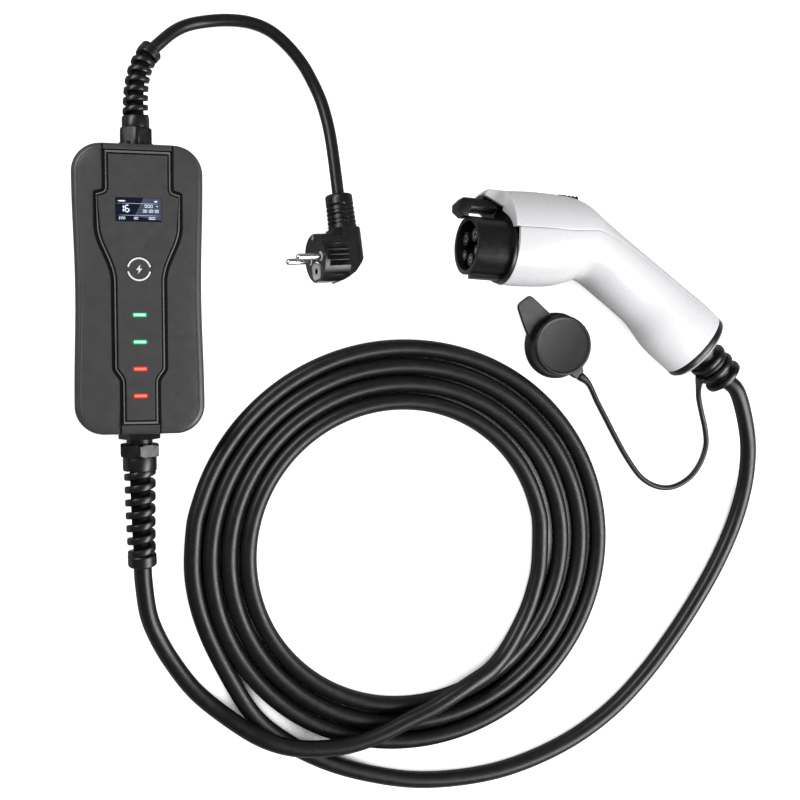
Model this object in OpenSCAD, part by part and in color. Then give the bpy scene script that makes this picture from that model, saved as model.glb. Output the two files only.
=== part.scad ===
// Portable charger for an electric car: a control box with a mains lead and plug on one end,
// and a charging cable, laid in a coil, with a five-contact connector on the other.
// The origin is the middle of the box's back face. +Z rises out of the box's face, +Y points
// at its mains end, and all of it lies on the plane z = 0.

/* [Control box] */
// Width of the box across its face
box_w = 89; // [86:1:98]
// Length of the box between its two cable ends
box_l = 201; // [195:1:220]
// Thickness of the box from its back to its cover
box_h = 50; // [48:1:56]
// Height of the deep back shell, below the joint, as a share of the box's thickness
base_share = 0.768; // [0.76:0.002:0.8]
// Wall of the box's two shells
wall = 2.6; // [2.2:0.1:3]
// Radius of the box's corners, seen from the front
corner_r = 20; // [16:1:22]
// How far the long sides draw in at mid length
waist = 1.6; // [0.8:0.2:2.4]
// Width and height of the bevel round the cover
bevel = 5; // [3:0.5:6]
// Thickness of the seal in the joint of the box
seal_t = 0.8; // [0.5:0.1:1.2]

/* [Front panel] */
// Height of the lower step of the front panel
panel_t = 1.2; // [0.8:0.1:1.8]
// Height of the upper step of the front panel
step_t = 1; // [0.6:0.1:1.4]
// Half of the panel's width at its neck beside the display
panel_neck = 24.2; // [22:0.2:26]
// Half of the panel's width at its shoulders
panel_wide = 30.1; // [28:0.2:32]
// Half of the panel's width along its lower stretch
panel_slim = 19.1; // [17:0.2:21]
// Half of the panel's width at its foot
panel_foot = 14; // [12:0.2:16]
// Margin between the lower step's edge and the upper step's
panel_margin = 4; // [3:0.2:4.6]
// Width of the display window
window_w = 30.5; // [26:0.5:33]
// Length of the display window along the box
window_l = 16; // [14:0.5:18]
// Distance of the window's middle from the box's mains end, as a share of the box's length
window_share = 0.227; // [0.215:0.001:0.235]
// Radius of the touch key
key_r = 8.6; // [7:0.2:9.6]
// The same share for the touch key
key_share = 0.43; // [0.42:0.002:0.44]
// The same share for the first lamp
lamp_share = 0.586; // [0.58:0.002:0.6]
// Distance from one lamp to the next, as a share of the box's length
pitch_share = 0.093; // [0.08:0.001:0.095]
// Width of a lamp
lamp_w = 8.2; // [6:0.2:10]
// Length of a lamp along the box
lamp_l = 1.8; // [1.6:0.1:3]

/* [Glands] */
// Height of both cable axes above the box's back
gland_z = 23; // [22:0.5:24]
// Width across flats of the charging cable's gland nut
gland_af = 25.5; // [25:0.5:28]
// Size of the mains gland against the charging cable's
small_gland = 0.8; // [0.8:0.01:0.88]
// Length of the spring-like strain relief on the charging cable's gland
relief_l = 70; // [60:1:80]
// Number of turns of a strain relief
relief_turns = 6; // [5:1:7]

/* [Leads] */
// Diameter of the mains lead
lead_d = 9; // [8:0.2:10]
// Diameter of the charging cable
cable_d = 13; // [12:0.2:14]
// Radius of the coil's innermost turn, to the middle of the cable
coil_r = 118; // [110:1:125]
// Turns of cable that lie side by side in the coil
coil_turns = 4; // [3:1:4]

/* [Mains plug] */
// Diameter of the plug's round face
plug_d = 36; // [34:0.5:38]
// Length of the plug from its face to its back
plug_l = 38.5; // [38:0.5:44]
// Diameter of a plug pin
pin_d = 4.8; // [4:0.1:5]
// Length of a plug pin beyond the face
pin_l = 19; // [17:0.5:20]
// Distance between the two pins
pin_pitch = 19; // [18:0.5:20]

/* [Connector nose] */
// Outer diameter of the nose that enters the car's inlet
nose_d = 43.8; // [42:0.2:45]
// Length of the nose in front of its flange
nose_l = 30; // [27:0.5:33]
// Wall of the nose
nose_wall = 3.3; // [2.8:0.1:3.6]
// Bore of a power contact
power_bore = 3.6; // [3:0.1:3.8]
// Bore of the earth contact
earth_bore = 2.8; // [2.4:0.1:3]
// Bore of a signal contact
signal_bore = 1.5; // [1.3:0.1:1.7]

/* [Connector housing] */
// Distance from the flange to the middle of the housing's cable end
reach = 171.8; // [165:0.5:178]
// Wall of the housing's two shells
shell_wall = 2.6; // [2.2:0.1:3]
// Radius of the housing at its front, below the latch
front_r = 30; // [29:0.2:31]
// Thickness of the collar on the cable end
collar_t = 6; // [5:0.5:8]
// Length of the ribbed boot behind the collar
boot_l = 38.5; // [34:0.5:42]
// Radius over the boot's ribs
boot_r = 16; // [15:0.2:17]

/* [Latch] */
// Width of the latch arm
latch_w = 11; // [9:0.5:12]
// Height of the latch arm in front of the housing
latch_t = 10; // [9:0.2:10.4]
// Height of the arm where it passes over the flange's peak
neck_t = 3.6; // [3:0.1:3.8]
// How far the hook reaches in front of the nose
hook_reach = 9.6; // [8.6:0.2:10.6]
// How far the hook hangs below the arm
hook_drop = 4.2; // [3:0.2:4.6]
// Diameter of the latch's pivot pin
pivot_d = 3; // [2.6:0.1:3.4]
// Length of the release button along the housing
button_l = 18; // [16:0.5:19]
// Width of the release button
button_w = 14; // [12:0.5:15]

/* [Dust cap] */
// Diameter of the cap over its rim
cap_d = 53; // [51:0.5:55]
// Height of the cap
cap_h = 18; // [16:0.5:22]
// Wall of the cap
cap_wall = 2; // [1.6:0.1:2.4]
// Thickness of the strap that keeps the cap on the connector
strap_d = 4.4; // [3.6:0.2:5]

/* [Hidden] */
$fn = 48;

// A whole turn, in degrees, and a right angle
whole_angle = 360;
right_angle = 90;

// One overrun for every cut, and the play between pieces that fit into each other
over = 1;
play = 0.2;
slip = 0.05;

// Colours, as the photograph shows them
charcoal = [0.27, 0.27, 0.28];
black = [0.06, 0.06, 0.065];
soft_black = [0.1, 0.1, 0.105];
white = [0.93, 0.93, 0.93];
steel = [0.75, 0.76, 0.78];
brass = [0.78, 0.62, 0.3];
board_green = [0.08, 0.3, 0.16];
glass = [0.03, 0.05, 0.12];
green = [0.1, 0.75, 0.35];
red = [0.85, 0.12, 0.1];

// Box: places worked out from its sizes
half_w = box_w / 2;
half_l = box_l / 2;
base_h = base_share * box_h;
window_at = window_share * box_l;
key_at = key_share * box_l;
lamp_at = lamp_share * box_l;
lamp_pitch = pitch_share * box_l;
back_bevel = bevel / 2;
cover_z = base_h + seal_t;
corner_steps = 7;
side_steps = 7;
bevel_steps = 3;
boss_in = 12;
boss_r = 4.4;
screw_r = 1.6;
screw_head_r = 3.1;
screw_head_t = 2.4;
screw_well = 4.5;
thread_depth = 6;
board_in = 30;
board_out = 4;
board_w = box_w - 2 * corner_r + 2 * board_out;
board_l = box_l - 2 * board_in;
board_t = 1.6;
board_up = 7;
board_z = wall + board_up;
standoff_r = 3.6;
board_top = board_z + board_t;
standoff_in = 5;
board_screw_r = 1.2;
board_head_r = 2.2;
board_head_t = 1.6;
module_t = 6;
module_rim = 3;
glass_t = 1.2;
relay_size = [16, 29, 16];
relay_gap = 4;
relay_y = 4;
sensor_r = 11;
sensor_hole = 5;
sensor_t = 9;
sensor_y = -34;
block_size = [34, 12, 11];
block_in = 16.5;
block_y = block_in - board_l / 2;
block_screw_r = 1.8;

// Panel: the outline as [share of the box's length from its mains end, half width]
panel_shares = [0, 0.157, 0.168, 0.29, 0.36, 0.41, 0.464, 0.775, 0.818, 1];
step_shares = [0.037, 0.163, 0.174, 0.29, 0.36, 0.41, 0.464, 0.775, 0.818, 0.952];
panel_bend = (panel_wide + panel_slim) / 2;
panel_widths = [panel_neck, panel_neck, panel_wide, panel_wide, panel_bend + 1.5 * step_t,
    panel_bend - 2.5 * step_t, panel_slim, panel_slim, panel_foot, panel_foot];
panel_edge = panel_t / 2;

// Glands: sizes as shares of the nut's width across flats
nut_share = 0.36;
flange_share = 0.2;
neck_share = 0.14;
collar_share = 0.4;
collar_r_share = 0.47;
thread_r_share = 0.36;
lock_share = 0.2;
lock_af_share = 0.95;
relief_r_share = 0.445;
relief_end_share = 0.385;
groove_share = 0.085;
ferrule_share = 0.3;
hex = 6;

// Leads: bend and droop of each strain relief, in degrees, at its end
mains_relief_l = 52;
mains_bend_angle = 44;
mains_droop_angle = 14;
cable_bend_angle = 3;
cable_droop_angle = 9;
bend_power = 2;
relief_rings = 5;
relief_sides = 16;
tube_sides = 10;
cable_sides = 12;
strap_sides = 8;
coil_at = [202, -198, 0];
coil_gap = 0.1;
pass = 19.8;

// Routes chosen by hand on the table, each from the end of its strain relief
mains_route = [[27, 186, 12.6], [37, 192.6, 8.4], [50, 197, 5.4], [67, 199.6, 4.6], [84, 199, 4.6],
    [99, 194, 4.6], [112, 184, 4.6], [123, 171.5, 4.6], [131, 158, 4.8], [137, 144.5, 5.8],
    [141, 130, 7.8], [143.5, 115.5, 10.2], [145.4, 99, 12.6]];
lead_in_route = [[5, -235, 12.4], [11, -253, 8.4], [22, -274, 6.6], [39, -298, 6.6], [61, -318, 9],
    [88, -336, 18.5], [117, -347, pass], [148, -352, pass], [180, -349, pass], [211, -336, pass],
    [238, -316, pass], [260, -295, 16], [281, -270, 9], [298, -242, 6.6], [311, -218, 6.6],
    [320, -190, 6.6]];
lead_out_route = [[67, -294, 6.6], [86, -324, 6.6], [112, -346, 6.6], [142, -363, 6.6],
    [175, -375, 6.6], [210, -383, 6.6], [246, -385, 6.6], [282, -382, 6.6], [317, -373, 6.6],
    [350, -359, 6.6], [381, -339, 6.6], [408, -314, 6.6], [432, -286, 6.6], [454, -256, 6.6],
    [474, -224, 6.6], [490, -190, 7], [498, -157, 9.6], [498, -127, 14], [491, -101, 19.6]];
strap_route = [[358, -71, 3], [366, -86, 2.4], [375, -102, 2.4], [384, -118, 2.4],
    [394, -134, 2.4], [406, -149, 2.4], [420, -157, 2.4], [435, -158, 2.4], [450, -151, 2.4],
    [460, -139, 2.4], [465, -124, 3], [463, -107, 5.6], [456, -91, 11.6], [445, -76, 20]];

// Plug: its place on the table, and how far it is tilted, rolled and turned, in degrees
plug_at = [128, 25, 27.3];
plug_angles = [-7, 14, 4];
plug_flat = 13;
relief_at = plug_l - plug_flat;
plug_relief_r = 10.7;
plug_relief_end = 9.2;
plug_relief_h = 29;
plug_ribs = 5;
plug_rib_w = 1.8;
plug_rib_gap = 1.5;
plug_rib_depth = 1.3;
plug_round = 3;
plug_share = 0.45;
corner_share = 0.73;
barrel_share = 0.54;
guide_w = 9;
guide_depth = 1.4;
strip_w = 5;
strip_t = 0.8;
strip_back = 14;
earth_at = 9.5;
earth_hole_r = 2.4;
earth_wall = 0.8;
earth_depth = 17;
ring_r = 3.5;
ring_t = 0.6;
pin_round = 1;
pin_root = 8;
root_r = 1.7;
neck = 0.2;

// Connector: its place on the table, and its roll, pitch and turn, in degrees
gun_at = [269.7, 34.2, 39.9];
gun_angles = [-7, 7, -3];
nose_r = nose_d / 2;
flange_t = 3;
cavity = nose_l - 6;
tower_short = 3;
block_t = 12;
power_x = 7.9;
power_y = 6.8;
signal_x = 10.2;
signal_y = -5.6;
earth_y = -10.6;
contact_wall = 0.9;
tower_wall = 2.4;
contact_tail = 8;
key_w = 8;
key_t = 2.7;
key_l = nose_l - 3;
// Housing stations: top and bottom points as shares of the reach and of the front radius,
// the share of the way up at which the station is widest, and its half width share
station_shares = [
    [0, 1.453, 0, -0.92, 0.5, 1], [0.082, 1.487, 0.082, -0.92, 0.495, 1.06],
    [0.175, 1.5, 0.169, -0.9, 0.49, 1.1], [0.268, 1.487, 0.245, -0.853, 0.485, 1.1],
    [0.344, 1.433, 0.317, -0.733, 0.48, 1.067], [0.407, 1.287, 0.37, -0.627, 0.48, 1.017],
    [0.489, 0.96, 0.425, -0.727, 0.48, 0.95], [0.594, 0.583, 0.506, -1.057, 0.49, 0.877],
    [0.71, 0.167, 0.588, -1.4, 0.5, 0.817], [0.832, -0.267, 0.666, -1.75, 0.5, 0.787],
    [0.947, -0.683, 0.736, -2.25, 0.5, 0.787], [1.039, -1.02, 0.803, -2.587, 0.5, 0.8],
    [1.115, -1.36, 0.884, -2.92, 0.5, 0.8]];
// Angle from the top at which cover and housing meet, at each station
seam_angles = [85, 85, 85, 85, 84, 80, 70, 60, 54, 50, 48, 46, 45];
seam_gap = 0.25;
housing_steps = 24;
cover_steps = 10;
end_sides = 32;

// Flange, and the seat behind it that fits inside the housing's front
rim = 1;
flange_r = -station_shares[0][3] * front_r - rim;
flange_peak = front_r + rim;
seat_r = flange_r + rim - shell_wall - play;
seat_l = 5;
front_seam = 11.5;

// Latch arm, about its pivot
pivot_x = 9;
pivot_lift = 2.4;
latch_y = flange_peak + pivot_lift;
arm_up = 1.9;
arm_low = arm_up - latch_t;
arm_end = -flange_t - 4;
pivot_boss = 3.6;
hook_bevel = 5;
hook_t = 8.8;
hook_round = 1;
edge_bevel = 1;
under_bevel = [3.4, 2.4];
button_x = 45;
tail_end = button_x + button_l / 2;

// Hood over the latch, with the bracket behind it that carries pin, spring and switch
tunnel_w = latch_w + 2.2;
roof_gap = 3.7;
hood_wall = 3.2;
hood_l = 18.5;
hood_top = station_shares[0][1] * front_r - play;
hood_bevel = 4.2;
near_cut = [-flange_t, flange_peak - rim];
far_cut = [-13, 25.4, 29.5];
ear_l = 14;
ear_t = 3;
rail_end = 42;
rail_top = latch_y - 3.4;
floor_t = 2;
floor_y = 22.5;
spring_r = 2.6;
spring_wire = 0.45;
spring_turns = 5;
spring_steps = 12;
spring_x = 36;
switch_size = [12, 5.8, 6.4];
switch_x = 17;
plunger_r = 1;
plunger_h = 1.7;

// Release button
button_top = station_shares[2][1] * front_r - 2 * play;
button_lift = 1.9;
leg_t = 1.5;
skirt = 1.2;
skirt_l = 14;
skirt_t = 1.5;
rear_drop = 4.4;
button_ribs = 3;
rib_pitch = 3.4;
rib_groove = 1.2;

// Clamp, collar and boot
clamp_r = front_r * station_shares[9][5] - shell_wall - 2 * play;
bolt_at = 13;
clamp_back = 22;
clamp_t = 6;
bolt_r = 1.5;
bolt_head_r = 2.7;
bolt_head_t = 2;
spigot_r = 10;
spigot_l = 9;
boot_ribs = 4;
boot_groove = 4;

// Cap and its strap
cap_at = [329.6, -39.8, 0];
cap_top = 2.6;
cap_bead = 3;
tab_l = 18;
tab_w = 23;
tab_end = 16;
tab_t = 3;
tab_angle = 133;
lug_angle = -50;
lug_size = [9, 9, 5];
tether_w = 5;
tether_wall = 2;

// Vectors and lists
function unit(v) = v / norm(v);
function total(v, n) = n < 0 ? 0 * v[0] : v[n] + total(v, n - 1);
function spin(v, a) = [v[0] * cos(a) - v[1] * sin(a), v[0] * sin(a) + v[1] * cos(a), v[2]];
function roll_y(v, a) = [v[0] * cos(a) + v[2] * sin(a), v[1], v[2] * cos(a) - v[0] * sin(a)];
function tip_x(v, a) = [v[0], v[1] * cos(a) - v[2] * sin(a), v[1] * sin(a) + v[2] * cos(a)];
function turned(v, t) = spin(roll_y(tip_x(v, t[0]), t[1]), t[2]);
function last(v) = v[len(v) - 1];

// A closed skin through rings of equally many points, with a fan over each end
module skin(rings) {
    n = len(rings[0]);
    m = len(rings);
    points = concat([for (r = rings) each r],
        [total(rings[0], n - 1) / n, total(last(rings), n - 1) / n]);
    polyhedron(points = points, faces = concat(
        [for (i = [0 : n - 1]) [m * n, i, (i + 1) % n]],
        [for (k = [0 : m - 2], i = [0 : n - 1]) each
            [[k * n + i, (k + 1) * n + i, (k + 1) * n + (i + 1) % n],
             [k * n + i, (k + 1) * n + (i + 1) % n, k * n + (i + 1) % n]]],
        [for (i = [0 : n - 1]) [m * n + 1, (m - 1) * n + (i + 1) % n, (m - 1) * n + i]]));
}

// The same for open walls: each ring runs along the outside and back along the inside
module wall_skin(rings) {
    n = len(rings[0]);
    m = len(rings);
    h = n / 2;
    e = (m - 1) * n;
    polyhedron(points = [for (r = rings) each r], faces = concat(
        [for (i = [0 : h - 2]) each [[i, i + 1, n - 2 - i], [i, n - 2 - i, n - 1 - i]]],
        [for (k = [0 : m - 2], i = [0 : n - 1]) each
            [[k * n + i, (k + 1) * n + i, (k + 1) * n + (i + 1) % n],
             [k * n + i, (k + 1) * n + (i + 1) % n, k * n + (i + 1) % n]]],
        [for (i = [0 : h - 2]) each
            [[e + i, e + n - 2 - i, e + i + 1], [e + i, e + n - 1 - i, e + n - 2 - i]]]));
}

// Rings of a round tube along a path, each square to the path there
function ahead(path, k) = k == 0 ? unit(path[1] - path[0])
    : k == len(path) - 1 ? unit(path[k] - path[k - 1])
    : unit(unit(path[k + 1] - path[k]) + unit(path[k] - path[k - 1]));
function ring(p, t, r, sides) = let (s = unit(cross(t, [0, 0, 1])), u = cross(s, t))
    [for (i = [0 : sides - 1]) let (a = whole_angle * i / sides) p + r * (cos(a) * s + sin(a) * u)];
module tube(path, r, sides) {
    skin([for (k = [0 : len(path) - 1]) ring(path[k], -ahead(path, k), r, sides)]);
}

// Outline of the box, drawn in by an inset, with its long sides waisted
function box_corner(q, hx, hy, r) = [for (i = [0 : corner_steps])
    let (a = right_angle * (q + i / corner_steps), sx = q == 0 || q == 3 ? 1 : -1, sy = q < 2 ? 1 : -1)
    [sx * (hx - r) + r * cos(a), sy * (hy - r) + r * sin(a)]];
function box_side(s, hx, hy, r) = [for (i = [1 : side_steps - 1]) let (t = i / side_steps)
    [s * (hx - waist * pow(sin(180 * t), 2)), s * (hy - r) * (2 * t - 1)]];
function box_outline(inset) =
    let (hx = half_w - inset, hy = half_l - inset, r = max(corner_r - inset, wall))
    concat(box_corner(0, hx, hy, r), box_corner(1, hx, hy, r), box_side(-1, hx, hy, r),
        box_corner(2, hx, hy, r), box_corner(3, hx, hy, r), box_side(1, hx, hy, r));
function box_ring(inset, z) = [for (p = box_outline(inset)) [p[0], p[1], z]];

// Cover's bevel as [inset, height] from the joint side up to the face
bevel_line = [for (k = [0 : bevel_steps]) let (a = right_angle * k / bevel_steps)
    [bevel * (1 - cos(a)), box_h - bevel * (1 - sin(a))]];

// Where the box's own fasteners and the board's sit
boss_places = [for (x = [-1, 1], y = [-1, 1]) [x * (half_w - boss_in), y * (half_l - boss_in)]];
board_places = [for (x = [-1, 1], y = [-1, 1])
    [x * (board_w / 2 - standoff_in), y * (board_l / 2 - standoff_in)]];

module each_place(places) {
    for (p = places) translate([p[0], p[1], 0]) children();
}

module box_base() {
    color(charcoal) difference() {
        union() {
            skin([box_ring(back_bevel, 0), box_ring(0, back_bevel), box_ring(0, base_h),
                box_ring(wall, base_h), box_ring(wall, wall + back_bevel),
                box_ring(wall + back_bevel, wall)]);
            each_place(boss_places) translate([0, 0, wall / 2])
                cylinder(r = boss_r, h = base_h - wall / 2);
            each_place(board_places) translate([0, 0, wall / 2])
                cylinder(r = standoff_r, h = board_z - wall / 2);
        }
        each_place(boss_places) {
            translate([0, 0, -over]) cylinder(r = screw_r + play, h = base_h + 2 * over);
            translate([0, 0, -over]) cylinder(r = screw_head_r + play, h = screw_well + over);
        }
        each_place(board_places) translate([0, 0, board_z - thread_depth + over])
            cylinder(r = board_screw_r + slip, h = thread_depth);
        for (s = [-1, 1]) gland_hole(s);
    }
}

module gland_hole(s) {
    r = thread_r_share * gland_af * (s > 0 ? small_gland : 1) + slip;
    translate([0, s * (half_l - 2 * wall), gland_z]) rotate([-90 * s, 0, 0])
        cylinder(r = r, h = 3 * wall);
}

module panel_openings(rise) {
    translate([0, half_l - window_at, box_h - wall - over])
        linear_extrude(wall + 2 * over + rise)
            square([window_w - 2 * wall, window_l - 2 * wall], center = true);
    for (k = [0 : 3]) translate([0, half_l - lamp_at - k * lamp_pitch, box_h - wall - over])
        linear_extrude(wall + 2 * over + rise)
            square([lamp_w + 2 * slip, lamp_l + 2 * slip], center = true);
}

module box_cover() {
    color(charcoal) difference() {
        union() {
            skin(concat([box_ring(wall + bevel, box_h - wall), box_ring(wall, box_h - wall - bevel),
                box_ring(wall, cover_z), box_ring(0, cover_z)],
                [for (b = bevel_line) box_ring(b[0], b[1])]));
            each_place(boss_places) translate([0, 0, cover_z])
                cylinder(r = boss_r, h = box_h - wall / 2 - cover_z);
        }
        each_place(boss_places) translate([0, 0, cover_z - over])
            cylinder(r = screw_r + slip, h = thread_depth + over);
        panel_openings(0);
    }
}

module cover_seal() {
    color(black) translate([0, 0, base_h]) linear_extrude(seal_t) difference() {
        polygon(box_outline(play));
        polygon(box_outline(wall - play));
    }
}

// A raised strip along the box, with chamfered edges, between two heights over the face
function face_z(y) = let (inset = half_l - abs(y))
    inset >= bevel ? box_h : lookup(inset, bevel_line);
function strip_ring(y, hw, low, high) = let (z = face_z(y), c = panel_edge) [
    [-hw, y, z + low], [hw, y, z + low], [hw, y, z + high - c], [hw - c, y, z + high],
    [c - hw, y, z + high], [-hw, y, z + high - c]];
function strip_stations(shares, widths) =
    [for (k = [0 : len(shares) - 1]) [half_l - shares[k] * box_l, widths[k]]];
function ends_down(s) = concat(
    [for (k = [0 : bevel_steps]) [half_l - bevel_line[k][0], s[0][1]]],
    [for (k = [1 : len(s) - 2]) s[k]],
    [for (k = [bevel_steps : -1 : 0]) [bevel_line[k][0] - half_l, last(s)[1]]]);

module front_panel() {
    low = ends_down(strip_stations(panel_shares, panel_widths));
    high = strip_stations(step_shares, [for (w = panel_widths) w - panel_margin]);
    color(charcoal) difference() {
        union() {
            skin([for (s = low) strip_ring(s[0], s[1], 0, panel_t)]);
            skin([for (s = high) strip_ring(s[0], s[1], panel_t / 2, panel_t + step_t)]);
        }
        panel_openings(panel_t + step_t);
        translate([0, half_l - window_at, box_h + panel_t + step_t - glass_t])
            linear_extrude(glass_t + over)
                square([window_w + 2 * play, window_l + 2 * play], center = true);
        translate([0, half_l - key_at, box_h + panel_t + step_t - glass_t])
            cylinder(r = key_r + play, h = glass_t + over);
    }
}

module display_window() {
    color(glass) translate([0, half_l - window_at, box_h + panel_t + step_t - glass_t])
        linear_extrude(glass_t) square([window_w, window_l], center = true);
}

module display_module() {
    color(soft_black) translate([0, half_l - window_at, box_h - wall - module_t])
        linear_extrude(module_t)
            square([window_w + module_rim, window_l + module_rim], center = true);
}

module touch_key() {
    color(charcoal) translate([0, half_l - key_at, box_h + panel_t + step_t - glass_t])
        cylinder(r = key_r, h = glass_t);
}

module lamps(first) {
    for (k = [first, first + 1])
        translate([0, half_l - lamp_at - k * lamp_pitch, box_h - wall])
            linear_extrude(wall + panel_t + step_t) square([lamp_w, lamp_l], center = true);
}
module green_lamps() { color(green) lamps(0); }
module red_lamps() { color(red) lamps(2); }

module control_board() {
    color(board_green) translate([0, 0, board_z]) difference() {
        linear_extrude(board_t) square([board_w, board_l], center = true);
        each_place(board_places) translate([0, 0, -over])
            cylinder(r = board_screw_r + play, h = board_t + 2 * over);
    }
}

module board_screws() {
    color(steel) each_place(board_places) {
        translate([0, 0, board_top]) cylinder(r = board_head_r, h = board_head_t);
        translate([0, 0, board_top - thread_depth]) cylinder(r = board_screw_r, h = thread_depth);
    }
}

module cover_screws() {
    color(steel) each_place(boss_places) {
        translate([0, 0, screw_well - screw_head_t]) cylinder(r = screw_head_r, h = screw_head_t);
        translate([0, 0, screw_well]) cylinder(r = screw_r, h = cover_z + thread_depth - screw_well - over);
    }
}

module relays() {
    color(soft_black) for (s = [-1, 1])
        translate([s * (relay_size[0] + relay_gap) / 2, relay_y + relay_size[1], board_top])
            linear_extrude(relay_size[2])
                square([relay_size[0], relay_size[1]], center = true);
}

// The sensor coil stands on a foot, with its hole along the box
module current_sensor() {
    color(soft_black) translate([0, sensor_y + relay_size[1] / 2, board_top + sensor_r])
        rotate([90, 0, 0]) difference() {
            union() {
                cylinder(r = sensor_r, h = sensor_t, center = true);
                translate([-sensor_r, -sensor_r, -sensor_t / 2])
                    linear_extrude(sensor_t) square([2 * sensor_r, sensor_r]);
            }
            cylinder(r = sensor_hole, h = sensor_t + 2 * over, center = true);
        }
}

module terminal_block() {
    w = block_size[0];
    color(white) translate([0, block_y, board_top]) difference() {
        translate([-w / 2, -block_size[1] / 2, 0])
            linear_extrude(block_size[2]) square([w, block_size[1]]);
        for (k = [-1 : 1]) translate([k * w / 3, 0, block_size[2] / 2])
            cylinder(r = block_screw_r, h = block_size[2]);
    }
}

// Gland pieces, drawn along +Z from the outside of the box's end wall; k is the gland's size
module at_gland(s) {
    translate([0, s * half_l, gland_z]) rotate([-90 * s, 0, 0]) children();
}
function gland_k(s) = gland_af * (s > 0 ? small_gland : 1);
function cord_r(s) = (s > 0 ? lead_d : cable_d) / 2;
function nut_foot(s) = (flange_share + neck_share) * gland_k(s);
function relief_foot(s) = nut_foot(s) + (nut_share + collar_share) * gland_k(s);
function flat_r(width) = width / 2 / cos(180 / hex);

module gland_body(s) {
    k = gland_k(s);
    back = wall + lock_share * k + over;
    color(black) at_gland(s) difference() {
        union() {
            cylinder(r = flat_r(k), h = flange_share * k, $fn = hex);
            translate([0, 0, -back]) cylinder(r = thread_r_share * k, h = back + nut_foot(s));
        }
        translate([0, 0, -back - over]) cylinder(r = cord_r(s) + over, h = back + k);
    }
}
module mains_gland() { gland_body(1); }
module cable_gland() { gland_body(-1); }

module lock_nut(s) {
    k = gland_k(s);
    color(soft_black) at_gland(s) translate([0, 0, -wall - lock_share * k]) difference() {
        cylinder(r = flat_r(lock_af_share * k), h = lock_share * k, $fn = hex);
        translate([0, 0, -over]) cylinder(r = thread_r_share * k + slip, h = lock_share * k + 2 * over);
    }
}
module mains_lock_nut() { lock_nut(1); }
module cable_lock_nut() { lock_nut(-1); }

// Rubber bush that the nut squeezes onto the cable, with the cable's own end in it
module gland_bush(s) {
    k = gland_k(s);
    back = wall + lock_share * k + over;
    color(black) at_gland(s) translate([0, 0, -back])
        cylinder(r = cord_r(s) + over - slip, h = back + nut_foot(s));
}
module mains_bush() { gland_bush(1); }
module cable_bush() { gland_bush(-1); }

// The strain relief's middle line, in the gland's own frame: it leaves along z, bends towards
// x and droops towards y; each step follows the direction that it has reached
relief_n = relief_turns * relief_rings;
function relief_dir(share, bend, droop) =
    let (b = bend * pow(share, bend_power), d = droop * pow(share, bend_power))
    [sin(b) * cos(d), sin(d), cos(b) * cos(d)];
function relief_line(length, bend, droop) = let (step = length / relief_n)
    [for (k = [0 : relief_n]) k == 0 ? [0, 0, 0] : total(
        [for (j = [0 : k - 1]) step * relief_dir((j + 0.5) / relief_n, bend, droop)], k - 1)];
function relief_ring(p, t, r, depth, phase) =
    let (s = unit(cross([0, 1, 0], t)), u = cross(t, s))
    [for (i = [0 : relief_sides - 1]) let (a = whole_angle * i / relief_sides,
        rr = r - depth * (0.5 + 0.5 * cos(whole_angle * phase - a)))
        p + rr * (cos(a) * s + sin(a) * u)];

module strain_relief(s, length, bend, droop) {
    k = gland_k(s);
    line = relief_line(length, bend, droop);
    dirs = [for (j = [0 : relief_n]) relief_dir(j / relief_n, bend, droop)];
    r0 = relief_r_share * k;
    r1 = relief_end_share * k;
    plain_share = ferrule_share * k / length;
    color(black) at_gland(s) {
        translate([0, 0, nut_foot(s)]) {
            cylinder(r = flat_r(k), h = nut_share * k, $fn = hex);
            translate([0, 0, nut_share * k])
                cylinder(r = collar_r_share * k, h = collar_share * k);
        }
        translate([0, 0, relief_foot(s)]) skin([for (j = [0 : relief_n])
            let (t = j / relief_n, plain = t > 1 - plain_share ? 0 : groove_share * k)
            relief_ring(line[j], dirs[j], r0 + (r1 - r0) * t, plain, t * (relief_turns + 1))]);
    }
}
module mains_relief() { strain_relief(1, mains_relief_l, mains_bend_angle, mains_droop_angle); }
module cable_relief() { strain_relief(-1, relief_l, cable_bend_angle, -cable_droop_angle); }

// End of a strain relief in the part's frame, and the way it points. The gland's frame lies
// with its x along the box's x, its z out of the box and its y down
function out_of_gland(s, v) = [v[0], s * v[2], -s * v[1]];
function relief_end(s, length, bend, droop) = [0, s * half_l, gland_z]
    + out_of_gland(s, [0, 0, relief_foot(s)] + last(relief_line(length, bend, droop)));
function relief_way(s, bend, droop) = out_of_gland(s, relief_dir(1, bend, droop));

// Mains lead
plug_entry = plug_at + turned([relief_at, plug_d / 2 + plug_relief_h, 0], plug_angles);
plug_way = turned([0, 1, 0], plug_angles);
mains_start = relief_end(1, mains_relief_l, mains_bend_angle, mains_droop_angle);
mains_way = relief_way(1, mains_bend_angle, mains_droop_angle);
mains_path = concat([mains_start, mains_start + lead_d * mains_way], mains_route,
    [plug_entry + lead_d * plug_way, plug_entry]);

module mains_lead() { color(black) tube(mains_path, lead_d / 2, tube_sides); }

// Mains plug, drawn with its face at x = 0, its pins along -x and its lead along +y
module at_plug() { translate(plug_at) rotate(plug_angles) children(); }

module plug_outline() {
    r = plug_d / 2;
    polygon([[0, -r], [plug_share * plug_l, -r], [relief_at, -corner_share * r], [plug_l, 0],
        [plug_l, r], [plug_l - plug_round, r + plug_round],
        [relief_at - plug_relief_r, r + plug_round], [relief_at - plug_relief_r, r], [0, r]]);
}

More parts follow.
